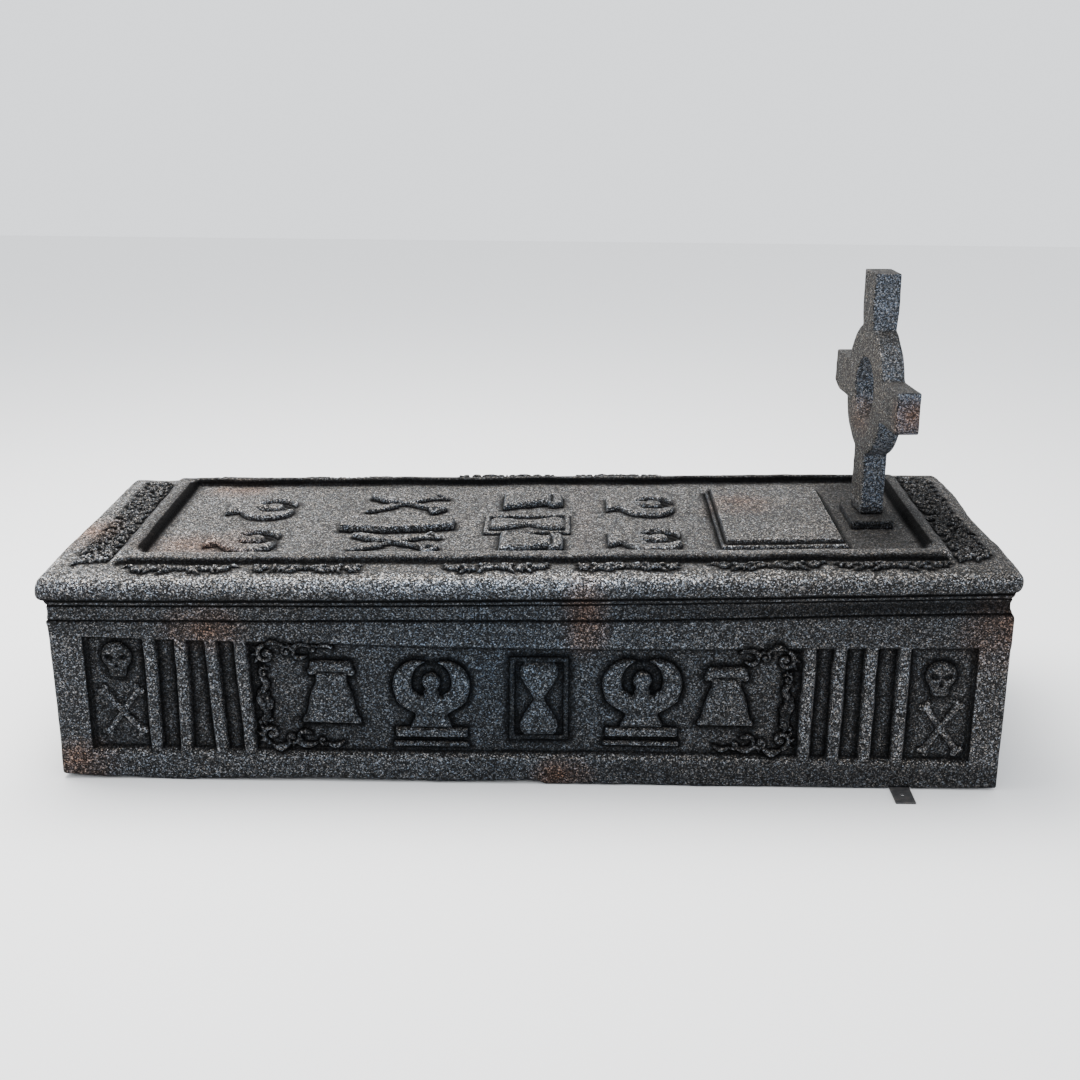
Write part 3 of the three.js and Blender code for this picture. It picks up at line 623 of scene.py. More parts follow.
def emboss(name, relief, place, keep, where=None):
    """A closed mesh of what stands on a relief's ground; place(x, y, up) gives its points."""
    raised = relief.up > -1.0
    if where is not None:
        raised &= where
    cell = raised[:-1, :-1] | raised[1:, :-1] | raised[:-1, 1:] | raised[1:, 1:]
    # cells that touch at a corner only are joined
    cell[1:, :-1] |= cell[:-1, :-1] & cell[1:, 1:]
    cell[:-1, :-1] |= cell[1:, :-1] & cell[:-1, 1:]
    used = np.zeros(raised.shape, bool)
    for rows in (slice(None, -1), slice(1, None)):
        for cols in (slice(None, -1), slice(1, None)):
            used[rows, cols] |= cell
    index = np.full(raised.shape, -1)
    n = int(used.sum())
    index[used] = np.arange(n)
    x, y, up = relief.X[used], relief.Y[used], relief.up[used]
    verts = np.concatenate([place(x, y, np.maximum(up, -2.0)), place(x, y, np.full(n, -SUNK - 1.0))])
    j, i = np.nonzero(cell)
    a, b, c, d = index[j, i], index[j, i + 1], index[j + 1, i + 1], index[j + 1, i]
    faces = [np.stack([a, b, c, d], axis=1), np.stack([d, c, b, a], axis=1) + n]
    wide = np.pad(cell, 1)
    for (e, f), beside in (((a, b), wide[:-2, 1:-1]), ((b, c), wide[1:-1, 2:]), ((c, d), wide[2:, 1:-1]),
                           ((d, a), wide[1:-1, :-2])):
        bare = ~beside[j, i]
        faces.append(np.stack([f[bare], e[bare], e[bare] + n, f[bare] + n], axis=1))
    # dark wash and painted shade of the raised parts; their sunk underside fully dark
    raised_wash_and_shade = np.concatenate([relief.raised_wash_and_shade[used], np.ones(n)])
    cavity = np.concatenate([relief.cavity[used], np.zeros(n)])
    return build_mesh(name, verts, np.concatenate(faces), keep=keep, soot=raised_wash_and_shade, cavity=cavity)


def grid_faces(rows, cols, first=0, closed=False):
    """Quads of a grid of points stored row by row."""
    j = np.arange(rows - 1)[:, None]
    i = np.arange(cols if closed else cols - 1)[None, :]
    n = (i + 1) % cols
    a = first + j * cols + i
    b = first + j * cols + n
    c = first + (j + 1) * cols + n
    d = first + (j + 1) * cols + i
    return np.stack([a, b, c, d], axis=-1).reshape(-1, 4)


def points_of(obj):
    co = np.empty(len(obj.data.vertices) * 3)
    obj.data.vertices.foreach_get("co", co)
    return co.reshape(-1, 3) / MM - np.array(SHIFT)


def paint(obj, **values):
    for name, v in values.items():
        attribute = obj.data.attributes.new(name, "FLOAT", "POINT")
        attribute.data.foreach_set("value", np.asarray(v, dtype=np.float32))


# Real lines of the chest, by place along the front
PANEL_TOP = [(-977, 317), (-905, 316), (-750, 311), (-450, 307), (-198, 303), (0, 301), (200, 302),
             (400, 305), (600, 309), (800, 312), (977, 316)]
RAIL_TOP = [(-977, 349), (-890, 350), (-600, 353), (-300, 358), (27, 362), (229, 365), (400, 371), (651, 381),
            (872, 388), (977, 390)]
BOTTOM = [(-977, 11), (-970, 10.5), (-930, 7.5), (-891, 4.8), (-830, 4.5), (-790, 2), (-740, 0), (-702, 0),
          (-680, 3), (-600, 4.5), (-500, 6.5), (-388, 7.8), (-300, 6.5), (-179, 4.1), (-80, 6), (9, 9.2),
          (28, 7), (42, 0.5), (120, 2.5), (200, 2), (364, 0.8), (489, 1.1), (600, 3), (700, 1.5), (760, 2),
          (850, 3), (984, 5.6)]
HEIGHTS = np.array([0.0, P_LOW, P_TOP, RAIL_AT, LIP_AT, SEAM_AT])


def lines(x, nominal):
    """Real height of a nominal height at x."""
    seam = seat_line(x) + sag(x)
    marks = np.stack([
        np.zeros_like(x), np.full_like(x, P_LOW) + 1.5 * np.sin(x / 170), along(x, PANEL_TOP),
        along(x, RAIL_TOP), seam - 15.0, seam - 0.4,
    ])
    k = np.clip(np.searchsorted(HEIGHTS, nominal, side="right") - 1, 0, 4)
    t = (nominal - HEIGHTS[k]) / (HEIGHTS[k + 1] - HEIGHTS[k])
    columns = np.arange(x.size)
    return marks[k, columns] * (1 - t) + marks[k + 1, columns] * t


def moulding(x, v):
    """How far the wall stands out or in under the lid."""
    cove = 2.5 + 4.5 * unit((x + 300) / 900)
    t = unit((v - RAIL_AT) / (LIP_AT - RAIL_AT))
    out = -cove * np.sin(pi * t) ** 0.8 * (v > RAIL_AT)
    lip = unit((v - 384) / 14)
    out = np.where(v > 383.5, 4.5 * np.sin(lip * pi / 2) - 1.5 * (1 - lip), out)
    out = out - 2.6 * hump(v - 350.5, 1.7) - 2.2 * hump(v - 383.5, 1.6)
    return out + 1.6 * hump(v - 343, 5)


def wall_points(bx, by, nx, ny, w, v):
    """Points of the outer faces: a place on the plan outline, the way and distance out, a nominal height."""
    back_share = unit((by + HALF_Y) / (2 * HALF_Y))
    low = along(bx, BOTTOM) * (1 - back_share) + 3 * back_share
    low = np.where((by < -HALF_Y + 5) & (np.abs(bx - 779) < 24), np.maximum(low, 5.2), low)
    z = lines(bx, v) + (low + 0.05) * unit(1 - v / 50)
    # the ends lean and swell a little
    lean = np.interp(v, [0, 100, 200, 300, 345], [9, 8, 6.5, 3, 0])
    bulge = np.interp(v, [0, 200, 305, 312, 335, 350, 398], [3, 5, 5, 7, 7, 4, 1])
    x = bx + lean * unit((-bx - 700) / 200) + bulge * unit((bx - 850) / 110)
    x = np.clip(x + nx * w, -979, 983.5)
    return np.stack([x, by + ny * w, z], axis=1)


def front_point(face):
    def place(x, v, up):
        w = moulding(x, v) + face.read(face.h, x, v)
        return wall_points(x, np.full(x.shape, -HALF_Y), 0.0, -1.0, w + up, v)
    return place


def make_chest(front, back, end):
    # columns round the plan: the side or 4 for a corner, the place, and the way out of it
    r, arc = 6.5, 4
    ax, ay = HALF_X - r, HALF_Y - r
    cols = []
    sides = [(0, -1, ax, 2.8), (1, 0, ay, 4.6), (0, 1, ax, 4.8), (-1, 0, ay, 4.6)]
    for k, (nx, ny, half, step) in enumerate(sides):
        for t in np.linspace(-half, half, max(2, int(2 * half / step)) + 1):
            cols.append((k, nx * HALF_X - ny * t, ny * HALF_Y + nx * t, nx, ny))
        for i in range(1, arc):
            a = (k - 1 + i / arc) * pi / 2
            cols.append((4, (nx - ny) * ax + r * cos(a), (nx + ny) * ay + r * sin(a), cos(a), sin(a)))
    side_of, bx, by, nx, ny = np.array(cols).T
    n = len(bx)
    rows = np.unique(np.concatenate([
        np.linspace(0, 4, 5), np.linspace(4, 58, 14), np.linspace(58, 100, 18), np.linspace(100, 300, 62),
        np.linspace(300, 346, 18), np.linspace(346, 398, 30)]))
    faces_of = ((0, front, bx), (2, back, -bx), (1, end, by), (3, end, -by))
    layers, soots, cavities = [], [], []
    for v in rows:
        nominal = np.full(n, v)
        w = moulding(bx, nominal)
        soot = np.zeros(n)
        cavity = np.zeros(n)
        for k, face, u in faces_of:
            on = side_of == k
            w = w + np.where(on, face.read(face.h, u, nominal), 0)
            soot = np.where(on, face.read(face.soot, u, nominal), soot)
            cavity = np.where(on, face.read(face.cavity, u, nominal), cavity)
        w = w + np.where(side_of == 4, 0.8 * noise(bx + by, nominal, 40, 3), 0)
        soft = unit(v / 4.0)
        w = np.minimum(w - 3 * (1 - np.sqrt(1 - (1 - soft) ** 2)), 6.0)
        layers.append(wall_points(bx, by, nx, ny, w, nominal))
        # painted shade in the moulding's creases and a painted shadow under the lid's overhang; darker also
        # in the cove toward the right, above the panels and low on the front toward the right; painted shade
        # at the wall's foot
        crease = hump(v - 350.5, 2.2) + hump(v - 383.5, 2.2)
        crease += 1.2 * unit((v - 390) / 4)
        right = unit((bx + 200) / 900)
        for dark_wash_and_shade in (min(crease, 1.0), 0.68 * exp(-0.5 * ((v - 367) / 12) ** 4) * right, 0.16 * (v > 310),
                     0.25 * unit((bx + 300) / 500) * (v < 54) * (ny < 0), 0.8 * exp(-v / 3.5)):
            soot = np.maximum(soot, dark_wash_and_shade)
        soots.append(soot)
        cavities.append(cavity)
    outer = np.concatenate(layers)
    scale = np.array([(HALF_X - WALL) / HALF_X, (HALF_Y - WALL) / HALF_Y])
    top_in = np.stack([bx * scale[0], by * scale[1], seat_line(bx * scale[0]) + sag(bx) - 0.4], axis=1)
    low_in = np.stack([bx * scale[0], by * scale[1], np.full(n, 3.0)], axis=1)
    verts = np.concatenate([outer, top_in, low_in])
    m = len(rows)
    faces = grid_faces(m + 2, n, closed=True)
    i = np.arange(n)
    j = (i + 1) % n
    last = (m + 1) * n
    closing = np.stack([last + i, last + j, j, i], axis=1)
    # the inner faces under the lid get a painted shade
    extra = np.full(2 * n, 0.4)
    return build_mesh("chest_wall", verts, np.concatenate([faces, closing]), keep=0.42,
                      soot=np.concatenate(soots + [extra]), cavity=np.concatenate(cavities + [extra * 0]))


def tilt(p):
    """From the lid's own frame to the frame of the chest."""
    x, y, z = p[:, 0], p[:, 1], p[:, 2]
    c, s = cos(SEAT_ANGLE), sin(SEAT_ANGLE)
    t = unit(z / LID_T)
    hang = sag(x) * (1 - t) + top_sag(x) * t
    return np.stack([x * c - z * s, y, x * s + z * c + SEAT_HEIGHT + hang], axis=1)


# How far the lid's edges stand back from its full size, by place along them
LEFT_EDGE = [(-400, 0.5), (-331, 0.4), (-96, 0.4), (20, 4), (114, 7), (250, 10), (393, 13), (400, 13)]
RIGHT_EDGE = [(-400, 5), (-340, 2), (-292, 1.5), (-176, 1), (-80, 6), (10, 10), (100, 8), (199, 4), (300, 6),
              (400, 11)]
R_EDGE = 23.0


def lid_outline(px, py):
    """Moves points near the lid's edge in to its worn outline."""
    near = unit((np.abs(px) - 925) / 65)
    back = np.where(px < 0, along(py, LEFT_EDGE), along(py, RIGHT_EDGE))
    back = back + 1.2 * noise(py, px * 0, 60, 5) - 0.6
    x = px - np.sign(px) * near * np.maximum(back, 0.3)
    near = unit((np.abs(py) - 345) / 48)
    back = 1.3 + 1.2 * noise(px, np.sign(py), 150, 6) + 0.7 * noise(px, np.sign(py), 42, 9)
    # the corner at the front and foot has worn round
    far_corner = np.hypot(np.minimum(px + 905, 0), np.minimum(py + 318, 0))
    y = py - np.sign(py) * near * np.maximum(back, 0.3)
    pull = np.clip(far_corner - 88, 0, 40) * 0.12
    x = x + pull * 0.75 * (px < -905) * (py < -318)
    y = y + pull * 0.65 * (px < -905) * (py < -318)
    return x, y


def lid_ground(top, px, py):
    edge = np.minimum(LID_X - np.abs(px), LID_Y - np.abs(py))
    return LID_T + top.read(top.h, px, py) - 3.5 * unit(1 - (edge - R_EDGE) / 24) ** 2


def lid_point(top):
    def place(px, py, up):
        x, y = lid_outline(px, py)
        return tilt(np.stack([x, y, lid_ground(top, px, py) + up], axis=1))
    return place


def make_lid(top):
    r = R_EDGE
    ax, ay = LID_X - r, LID_Y - r
    nx, ny = 740, 260
    gx, gy = np.meshgrid(np.linspace(-ax, ax, nx + 1), np.linspace(-ay, ay, ny + 1))
    # round the plan corners of the flat part
    rc = 8.0
    cx, cy = np.abs(gx) - (ax - rc), np.abs(gy) - (ay - rc)
    in_corner = (cx > 0) & (cy > 0)
    m, h = np.maximum(cx, cy), np.hypot(cx, cy) + 1e-9
    k = np.where(in_corner, m / h, 1.0)
    px = np.where(in_corner, np.sign(gx) * (ax - rc + cx * k), gx)
    py = np.where(in_corner, np.sign(gy) * (ay - rc + cy * k), gy)
    flat = np.stack([px.ravel(), py.ravel(), lid_ground(top, px, py).ravel()], axis=1)
    cols = nx + 1
    loop = np.concatenate([
        np.arange(0, nx), np.arange(0, ny) * cols + nx, ny * cols + np.arange(nx, 0, -1),
        np.arange(ny, 0, -1) * cols])
    base = flat[loop]
    bx, by = base[:, 0], base[:, 1]
    ex, ey = np.abs(bx) - (ax - rc), np.abs(by) - (ay - rc)
    both = (ex > 0) & (ey > 0)
    h = np.hypot(ex, ey) + 1e-9
    ux, uy = (np.sign(b) * np.where(both, e / h, np.abs(np.abs(b) - a) < 1e-6)
              for b, e, a in ((bx, ex, ax), (by, ey, ay)))
    s = bx + by * 1.7
    steps = 18
    rings = []
    waist = np.where(bx > LID_X - 60, 22.0, 10 + 9 * unit((bx + 300) / 900))
    tuck = np.where(bx > LID_X - 60, 14.0, 7.0)
    for i in range(1, steps + 1):
        t = i / steps
        if t < 0.65:
            a = t / 0.65 * pi / 2
            out, z = r * sin(a), waist + (base[:, 2] - waist) * cos(a)
        else:
            a = (t - 0.65) / 0.35 * pi / 2
            out, z = r - tuck * (1 - cos(a)) ** 1.2, waist - (waist - 0.6) * sin(a)
        lump = (0.9 * noise(s + 31, z + s * 0.3, 24, 8) + 0.8 * noise(s, z, 60, 12)) * (out / r)
        o = np.minimum(out + lump, r - 0.2)
        rings.append(np.stack([bx + ux * o, by + uy * o, z], axis=1))
    n = len(loop)
    first = len(flat)
    faces = [grid_faces(ny + 1, cols)]
    i = np.arange(n)
    j = (i + 1) % n
    faces.append(np.stack([loop[i], first + i, first + j, loop[j]], axis=1))
    faces.append(grid_faces(steps, n, first, closed=True)[:, ::-1])
    all_faces = list(np.concatenate(faces))
    all_faces.append(first + (steps - 1) * n + i)
    q = np.concatenate([flat] + rings)
    q[:, 0], q[:, 1] = lid_outline(q[:, 0], q[:, 1])
    rest = n * steps
    soot = np.concatenate([top.read(top.soot, px, py).ravel(), np.zeros(rest)])
    cavity = np.concatenate([top.read(top.cavity, px, py).ravel(), np.zeros(rest)])
    # painted shade on the lid's underside and the low part of its edge
    soot = np.maximum(soot, unit((8.5 - q[:, 2]) / 5))
    return build_mesh("lid_slab", tilt(q), all_faces, keep=0.42, soot=unit(soot), cavity=cavity)


# Cross and foot: a fine even mesh worn round at its edges
def worn(name, verts, faces, voxel, rounds):
    mesh = bpy.data.meshes.new(name)
    mesh.from_pydata([tuple((Vector(v) + SHIFT) * MM) for v in verts], [], faces)
    obj = add_object(name, mesh)
    remesh = obj.modifiers.new("even", "REMESH")
    remesh.mode = "VOXEL"
    remesh.voxel_size = voxel * MM
    smooth = obj.modifiers.new("worn", "SMOOTH")
    smooth.factor = 0.5
    smooth.iterations = rounds
    apply_modifiers(obj)
    return obj


def move_points(obj, p):
    obj.data.vertices.foreach_set("co", ((p + np.array(SHIFT)) * MM).ravel())
    obj.data.update()


CROSS_AT = (748.0, 14.0)
CROSS_TURN = radians(5)
CROSS_LEAN = radians(1.4)
CROSS_TALL, CROSS_T, CROSS_C = 526.5, 50.5, 271.0
FOOT_H = 19.0


def make_cross():
    ring, eye, arm, shaft, near, far_side = 142.0, 70.5, 43.5, 43.0, 253.0, 247.0
    limbs = [(0, arm, far_side), (pi / 2, shaft, CROSS_TALL - CROSS_C), (pi, arm, near),
             (3 * pi / 2, shaft, CROSS_C)]

    def reach(a):
        """How far the outline is from the centre, in the direction a."""
        best = ring
        for b, half, far in limbs:
            c, edge = cos(a - b), half / max(abs(sin(a - b)), 1e-9)
            if c > 0 and (edge >= ring * 0.999 or far / c <= edge):
                best = max(best, min(far / c, edge))
        return best

    # the outline and the eye have their points at the same angles, so both faces are quads
    angles = list(np.linspace(0, 2 * pi, 96, endpoint=False))
    for b, half, far in limbs:
        span, tip = asin(half / ring), atan2(half, far)
        for t in np.linspace(0, 1, 14):
            root = ring * cos(span)
            for a in (tip, span, tip * t, atan2(half, root + (far - root) * t)):
                angles += [b + a, b - a]
    angles = sorted({round(a % (2 * pi), 9) for a in angles})
    n = len(angles)
    m = 2 * n
    verts = [(r(a) * cos(a), r(a) * sin(a), s * CROSS_T / 2)
             for s in (-1, 1) for r in (reach, lambda a: eye) for a in angles]
    faces = []
    for i in range(n):
        j = (i + 1) % n
        faces += [(i, n + i, n + j, j), (m + j, m + n + j, m + n + i, m + i), (i, j, m + j, m + i),
                  (n + j, n + i, m + n + i, m + n + j)]
    obj = worn("cross_worn", verts, faces, 2.7, 5)
    p = points_of(obj)
    # drawn flat, then stood up: the width runs along Y, the thickness along X
    w, h, t = p[:, 0], p[:, 1] + CROSS_C, p[:, 2]
    lump = noise(w + 900, h, 46, 21) * 1.3 + noise(w + 900, h + t, 15, 22) * 0.6
    t = t * (1 - 0.03 * h / CROSS_TALL + 0.16 * unit((h - 390) / 60)) + np.sign(t) * lump * 0.6
    w = w * (1 - 0.02 * h / CROSS_TALL) + 0.8 * noise(h + 300, t, 55, 23)
    # the far arm's lower edge has worn away
    worn_off = unit((w - 205) / 40) * unit((CROSS_C - h) / 40)
    h = h + 16 * worn_off ** 1.3
    h = np.clip(h, 0.0, CROSS_TALL - 0.4)
    x, z = turned(t, h, CROSS_LEAN)
    x, y = turned(x, w, -CROSS_TURN)
    base = LID_T + FOOT_H - 0.8
    z = np.maximum(z, 0.0) + base
    q = tilt(np.stack([x + CROSS_AT[0], y + CROSS_AT[1], z], axis=1))
    move_points(obj, q)
    # painted shade low on the cross, where it meets the foot block
    foot = unit(1 - (z - base) / 26)
    paint(obj, soot=0.5 * foot, cavity=np.zeros(len(q)))
    return obj


def make_foot():
    x0, x1, y0, y1 = 698.0, 790.0, -85.0, 78.0
    low, high = LID_T - 1.5, LID_T + FOOT_H
    verts = [(x, y, z) for z in (low, high) for x, y in ((x0, y0), (x1, y0), (x1, y1), (x0, y1))]
    faces = [(3, 2, 1, 0), (4, 5, 6, 7), (0, 1, 5, 4), (1, 2, 6, 5), (2, 3, 7, 6), (3, 0, 4, 7)]
    obj = worn("cross_foot_worn", verts, faces, 2.4, 10)
    p = points_of(obj)
    p[:, 2] += 0.5 * noise(p[:, 0], p[:, 1], 16, 41)
    p[:, 2] = np.clip(p[:, 2], low, high - 0.3)
    # the foot block is darker overall, with painted shade low on its sides and round the shaft
    soot = np.maximum(0.5, unit(1 - (p[:, 2] - LID_T) / 9) * 0.66)
    shaft = np.maximum(np.abs(p[:, 0] - CROSS_AT[0]) - 23, np.abs(p[:, 1] - CROSS_AT[1]) - 42)
    soot = np.maximum(soot, 0.75 * hump(np.clip(shaft, 0, None), 7))
    q = tilt(p)
    move_points(obj, q)
    paint(obj, soot=unit(soot), cavity=np.zeros(len(q)))
    return obj


# Materials
WALL_LEVEL, FLAT_LEVEL, EDGE_LEVEL, HIGH_LEVEL = 0.0140, 0.0150, 0.0340, 0.0280
WALL_GRAIN, FLAT_GRAIN, EDGE_GRAIN = 5.0, 5.8, 0.2
COARSE_GRIT, SMALL_GRIT = 420.0, 690.0


class Nodes:
    def __init__(self, name):
        self.material = bpy.data.materials.new(name)
        self.material.use_nodes = True
        self.tree = self.material.node_tree
        self.tree.nodes.clear()

    def add(self, kind, **settings):
        node = self.tree.nodes.new(kind)
        for key, value in settings.items():
            setattr(node, key, value)
        return node

    def link(self, a, b):
        self.tree.links.new(a, b)

    def value(self, socket, v):
        if isinstance(v, bpy.types.NodeSocket):
            self.link(v, socket)
        else:
            socket.default_value = v

    def fill(self, node, **inputs):
        for name, v in inputs.items():
            self.value(node.inputs[name], v)
        return node

    def math(self, op, a, b=None, c=None, clamp=False):
        node = self.add("ShaderNodeMath", operation=op, use_clamp=clamp)
        for socket, v in zip(node.inputs, (a, b, c)):
            if v is not None:
                self.value(socket, v)
        return node.outputs[0]

    def times(self, a, b, clamp=False):
        return self.math("MULTIPLY", a, b, clamp=clamp)

    def line(self, x, slope, rest, clamp=False):
        return self.math("MULTIPLY_ADD", x, slope, rest, clamp=clamp)

    def scaled(self, v, share, k):
        """v times 1 + k at a full share, and v where there is none."""
        return self.times(v, self.line(share, k, 1.0))

    def split(self, vector):
        node = self.add("ShaderNodeSeparateXYZ")
        self.link(vector, node.inputs[0])
        return node.outputs

    def mix(self, factor, a, b, mode="MIX"):
        node = self.add("ShaderNodeMix", data_type="RGBA", blend_type=mode)
        self.value(node.inputs[0], factor)
        for socket, v in ((node.inputs[6], a), (node.inputs[7], b)):
            if isinstance(v, tuple) and len(v) == 3:
                v = (*v, 1.0)
            self.value(socket, v)
        return node.outputs[2]

    def tint(self, factor, colour, hue):
        return self.mix(factor, colour, self.mix(1.0, colour, hue, "MULTIPLY"))

    def ramp(self, factor, stops):
        node = self.add("ShaderNodeValToRGB")
        elements = node.color_ramp.elements
        while len(elements) < len(stops):
            elements.new(1.0)
        for element, (position, colour) in zip(elements, stops):
            element.position = position
            element.color = (*colour, 1.0)
        self.link(factor, node.inputs[0])
        return node.outputs[0]

    def noise(self, vector, scale, detail, rough):
        node = self.fill(self.add("ShaderNodeTexNoise"), Vector=vector, Scale=scale, Detail=detail,
                         Roughness=rough)
        return node.outputs[0]

    def cells(self, vector, scale):
        node = self.fill(self.add("ShaderNodeTexVoronoi"), Vector=vector, Scale=scale)
        separate = self.add("ShaderNodeSeparateColor")
        self.link(node.outputs["Color"], separate.inputs[0])
        return separate.outputs[0], separate.outputs[1], node.outputs["Distance"]

    def surface(self, colour, roughness, height, strength, distance):
        """The shader, with its bump, joined to the output."""
        shader = self.fill(self.add("ShaderNodeBsdfPrincipled"), Roughness=roughness)
        self.link(colour, shader.inputs["Base Color"])
        bump = self.fill(self.add("ShaderNodeBump"), Strength=strength, Distance=distance, Height=height)
        self.link(bump.outputs[0], shader.inputs["Normal"])
        self.link(shader.outputs[0], self.add("ShaderNodeOutputMaterial").inputs["Surface"])
        return shader


def spot(n, xyz, at, size):
    """A soft patch round a place, in metres, as a number from 0 to 1."""
    terms = []
    for k in range(3):
        if size[k] is None:
            continue
        d = n.math("DIVIDE", n.math("SUBTRACT", xyz[k], at[k]), size[k])
        terms.append(n.times(d, d))
    total = terms[0]
    for term in terms[1:]:
        total = n.math("ADD", total, term)
    return n.math("SUBTRACT", 1.0, n.math("SQRT", total), clamp=True)


def stone(name):
    n = Nodes(name)
    coordinate = n.add("ShaderNodeTexCoord").outputs["Object"]
    xyz = n.split(coordinate)
    normal = n.split(n.add("ShaderNodeNewGeometry").outputs["Normal"])
    soot, cavity = (n.add("ShaderNodeAttribute", attribute_name=a).outputs["Fac"] for a in ("soot", "cavity"))
    broad = n.noise(coordinate, 3.2, 3.0, 0.55)
    patch = n.noise(coordinate, 11.0, 3.0, 0.6)

    # faces that look up are sandy and a little lighter as painted light, upright ones darker and cooler;
    # rounded edges get a painted highlight, partly dry-brushed paint, brighter toward the foot
    up = n.line(normal[2], 1.8, -0.75, clamp=True)
    tilted = n.line(normal[2], 2.2, -0.15, clamp=True)
    outward = n.math("SUBTRACT", 1.0, n.line(normal[2], 12.0, -11.0, clamp=True))
    drybrush_and_highlight = n.times(tilted, outward)
    foot_side = n.line(xyz[0], -2.2, 1.15, clamp=True)
    drybrush_and_highlight = n.times(drybrush_and_highlight, n.line(foot_side, 0.75, 0.25))
    front_part = n.line(xyz[1], -33.0, -6.6, clamp=True)
    lid_part = n.line(xyz[2], 60.0, -23.4, clamp=True)
    drybrush_and_highlight = n.times(drybrush_and_highlight, n.times(front_part, lid_part))
    foot_corner = n.line(xyz[0], -2.2, -0.6, clamp=True)
    drybrush_and_highlight = n.scaled(drybrush_and_highlight, foot_corner, -0.42)
    # the cross's faces toward the foot and toward the front, for painted shade and a painted bluish light
    # below
    high = n.line(xyz[2], 30.0, -14.9, clamp=True)
    to_foot = n.times(n.times(normal[0], -1.0, clamp=True), high)
    to_front = n.times(n.math("ABSOLUTE", normal[1]), high)

    # dark wash and painted shade in recesses and round the devices, and painted shade in crevices
    dark = n.times(soot, n.line(patch, 0.4, 0.85), clamp=True)
    crevice = n.times(cavity, 1.3, clamp=True)
    dark = n.math("MAXIMUM", dark, n.times(crevice, 0.75))

    # grain: every grit has its own level and hue
    coarse, coarse_hue, coarse_distance = n.cells(coordinate, COARSE_GRIT)
    small = n.cells(coordinate, SMALL_GRIT)[0]
    fine = n.noise(coordinate, 520.0, 2.0, 0.6)
    level = n.math("ADD", n.times(coarse, 0.66), n.times(small, 0.34))
    level = n.line(level, 2.0, -1.0)
    strength = n.line(up, FLAT_GRAIN - WALL_GRAIN, WALL_GRAIN)
    strength = n.line(drybrush_and_highlight, EDGE_GRAIN, strength)
    strength = n.line(high, -1.9, strength)
    strength = n.line(to_foot, 2.4, strength)
    strength = n.scaled(strength, dark, -0.5)
    gain = n.math("POWER", 2.0, n.times(level, strength))
    hue = n.mix(coarse_hue, (0.84, 0.97, 1.16), (1.12, 1.0, 0.88))
    cool = n.mix(broad, (0.92, 1.0, 1.09), (1.02, 1.0, 0.98))
    warm = n.mix(patch, (1.08, 1.0, 0.91), (1.0, 1.0, 0.97))
    colour = n.mix(1.0, hue, n.mix(up, cool, warm), "MULTIPLY")

    # brown and rust washes at the places that the photo shows
    rust_spots = [
        ((-0.66, -0.36, 0.335), (0.10, None, 0.06)), ((0.12, -0.36, 0.37), (0.06, None, 0.11)),
        ((0.08, -0.36, 0.02), (0.08, None, 0.05)), ((-0.93, -0.36, 0.04), (0.10, None, 0.06)),
        ((-0.70, -0.16, None), (0.16, 0.12, None)), ((0.47, 0.08, None), (0.10, 0.10, None)),
        ((-0.69, 0.28, None), (0.10, 0.07, None)), ((0.77, -0.22, 0.76), (0.07, 0.06, 0.05)),
        ((0.73, 0.06, 0.70), (0.06, 0.09, 0.05)), ((-0.96, -0.05, None), (0.08, 0.14, None)),
        ((0.97, None, 0.35), (0.11, None, 0.10)),
    ]
    rust = None
    for at, size in rust_spots:
        s = spot(n, xyz, at, size)
        rust = s if rust is None else n.math("MAXIMUM", rust, s)
    rusty = n.times(rust, n.line(patch, 1.8, -0.35, clamp=True))
    rusty = n.scaled(rusty, up, -0.45)
    colour = n.tint(rusty, colour, (2.1, 0.95, 0.45))
    navy = n.times(spot(n, xyz, (-0.05, -0.36, 0.25), (0.55, None, 0.30)), n.math("SUBTRACT", 1.0, up))
    colour = n.tint(n.times(navy, 0.8), colour, (0.80, 1.0, 1.20))
    umber = n.line(xyz[0], 1.6, -0.55, clamp=True)
    umber = n.times(umber, n.line(broad, 1.6, -0.3, clamp=True))
    umber = n.times(umber, n.math("SUBTRACT", 1.0, dark))
    colour = n.tint(n.times(umber, 0.35), colour, (1.18, 1.0, 0.80))

    # painted highlights on ridges and rounded edges, partly dry-brushed paint; painted shade with a brown
    # tint on the cross's faces toward the foot, a painted bluish light on those toward the front, and its
    # upright faces painted lighter; tops darker toward the head end and lighter toward the foot end
    ridge = n.times(cavity, -1.4, clamp=True)
    value = n.line(up, FLAT_LEVEL - WALL_LEVEL, WALL_LEVEL)
    value = n.line(drybrush_and_highlight, EDGE_LEVEL, value)
    value = n.line(n.times(high, n.math("SUBTRACT", 1.0, up)), HIGH_LEVEL, value)
    colour = n.tint(to_foot, colour, (1.10, 1.0, 0.88))
    colour = n.tint(to_front, colour, (0.91, 1.0, 1.13))
    head_end = n.times(n.line(xyz[0], 2.4, -1.2, clamp=True), up)
    foot_end = n.times(n.line(xyz[0], -2.0, -0.9, clamp=True), up)
    value = n.times(value, n.line(broad, 0.7, 0.65))
    for share, k in ((to_foot, -0.82), (head_end, -0.4), (foot_end, 0.55), (ridge, 0.5), (dark, -0.94)):
        value = n.scaled(value, share, k)
    value = n.times(value, gain)
    value = n.math("MINIMUM", n.math("ADD", value, 0.0010), 0.85)
    bright = n.add("ShaderNodeVectorMath", operation="SCALE")
    n.link(colour, bright.inputs[0])
    n.link(value, bright.inputs["Scale"])

    bumps = n.math("ADD", n.times(coarse_distance, 0.4), n.times(coarse, 0.6))
    bumps = n.math("ADD", bumps, n.times(n.noise(coordinate, 90.0, 3.0, 0.6), 0.8))
    shader = n.surface(bright.outputs[0], n.line(fine, 0.25, 0.62), bumps, 0.8, 0.002)
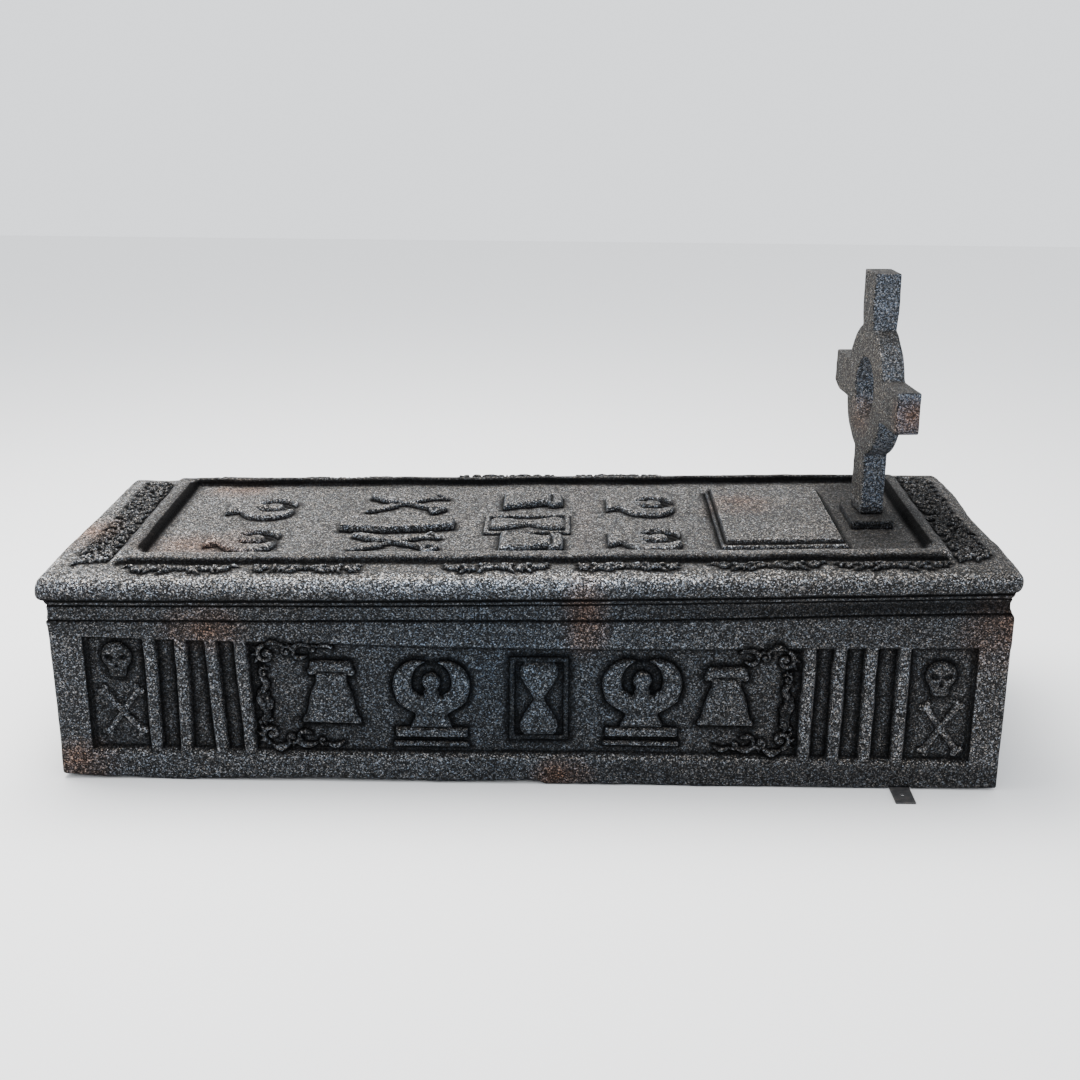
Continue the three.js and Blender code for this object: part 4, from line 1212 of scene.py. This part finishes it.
    # less shine where the painted shade and dark wash lie
    n.link(n.line(dark, -0.10, 0.115), shader.inputs["Specular IOR Level"])
    return n.material


def steel(name):
    n = Nodes(name)
    coordinate = n.add("ShaderNodeTexCoord").outputs["Object"]
    wear = n.noise(coordinate, 60.0, 4.0, 0.65)
    fine = n.noise(coordinate, 420.0, 2.0, 0.6)
    colour = n.ramp(wear, [(0.3, (0.028, 0.029, 0.032)), (0.55, (0.072, 0.070, 0.070)),
                           (0.75, (0.136, 0.104, 0.08))])
    colour = n.mix(n.times(fine, 0.5), colour, (0.02, 0.02, 0.022))
    shader = n.surface(colour, n.line(fine, 0.3, 0.45), wear, 0.3, 0.0006)
    shader.inputs["Metallic"].default_value = 0.35
    return n.material


front, top = make_front(), make_top()
back = make_plain(LID_X, P_LEFT, P_RIGHT, DEPTH, (-774, -709, -646, -588, 579, 640, 703, 771), 31)
end = make_plain(LID_Y, -290, 290, END_DEPTH, (-236, -178, 178, 236), 51)
chest = make_chest(front, back, end)
chest_devices = emboss("chest_devices", front, front_point(front), keep=0.46)
lid = make_lid(top)
on_field = (np.abs(top.X) < 790) & (np.abs(top.Y) < 240)
lid_devices = emboss("lid_devices", top, lid_point(top), keep=0.36, where=on_field)
lid_scrolls = emboss("lid_scrolls", top, lid_point(top), keep=0.48, where=~on_field)
cross = make_cross()
foot = make_foot()
stone_material = stone("stone_coat")
for piece, node in ((chest, "chest"), (chest_devices, "chest"), (lid, "lid"), (lid_devices, "lid"),
                    (lid_scrolls, "lid"), (cross, "cross"), (foot, "cross_foot")):
    piece.data.materials.clear()
    piece.data.materials.append(stone_material)
    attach(piece, "root")
    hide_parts(node)
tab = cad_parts["floor_bracket"]
tab.data.materials.clear()
tab.data.materials.append(steel("tab_paint"))

# Floor
floor_mesh = bpy.data.meshes.new("floor")
floor_mesh.from_pydata([(-9, -7, 0), (9, -7, 0), (9, 9, 0), (-9, 9, 0)], [], [(0, 1, 2, 3)])
floor = add_object("floor", floor_mesh)
pale = bpy.data.materials.new("pale_floor")
pale.use_nodes = True
pale_shader = pale.node_tree.nodes["Principled BSDF"]
pale_shader.inputs["Base Color"].default_value = (0.86, 0.86, 0.86, 1)
pale_shader.inputs["Roughness"].default_value = 0.9
floor.data.materials.append(pale)

# Light
world = bpy.data.worlds.new("studio")
bpy.context.scene.world = world
world.use_nodes = True
world.node_tree.nodes["Background"].inputs[0].default_value = (0.93, 0.96, 1.0, 1)
world.node_tree.nodes["Background"].inputs[1].default_value = 1.69


def area(name, at, target, size, power, colour=(1, 1, 1)):
    data = bpy.data.lights.new(name, "AREA")
    data.shape = "RECTANGLE"
    data.size, data.size_y = size
    data.energy = power
    data.color = colour
    obj = add_object(name, data)
    obj.location = at
    obj.rotation_euler = (Vector(target) - Vector(at)).to_track_quat("-Z", "Y").to_euler()


area("key", (-0.9, 0.7, 3.5), (0, 0, 0.4), (3.2, 2.2), 362, (1.0, 0.985, 0.96))
area("fill", (0.3, -3.6, 2.6), (0, 0, 0.3), (3.0, 1.6), 27.5, (0.95, 0.97, 1.0))

# Camera fitted to the photo, whose focal length is in its own pixels
F_PX, PHOTO = 1630.15, 1080.0
PITCH, YAW, ROLL = 0.30084, -0.00911, 0.00977
EYE = Vector((53.9, -3454.4, 1496.3)) * MM
camera_data = bpy.data.cameras.new("camera")
camera_data.sensor_fit = "HORIZONTAL"
camera_data.sensor_width = 36.0
camera_data.lens = 36.0 * F_PX / PHOTO
camera_data.clip_end = 60
camera = add_object("camera", camera_data)
aim = Matrix.Rotation(-YAW, 4, "Z") @ Matrix.Rotation(pi / 2 - PITCH, 4, "X")
camera.matrix_world = Matrix.Translation(EYE) @ aim @ Matrix.Rotation(ROLL, 4, "Z")
bpy.context.scene.camera = camera
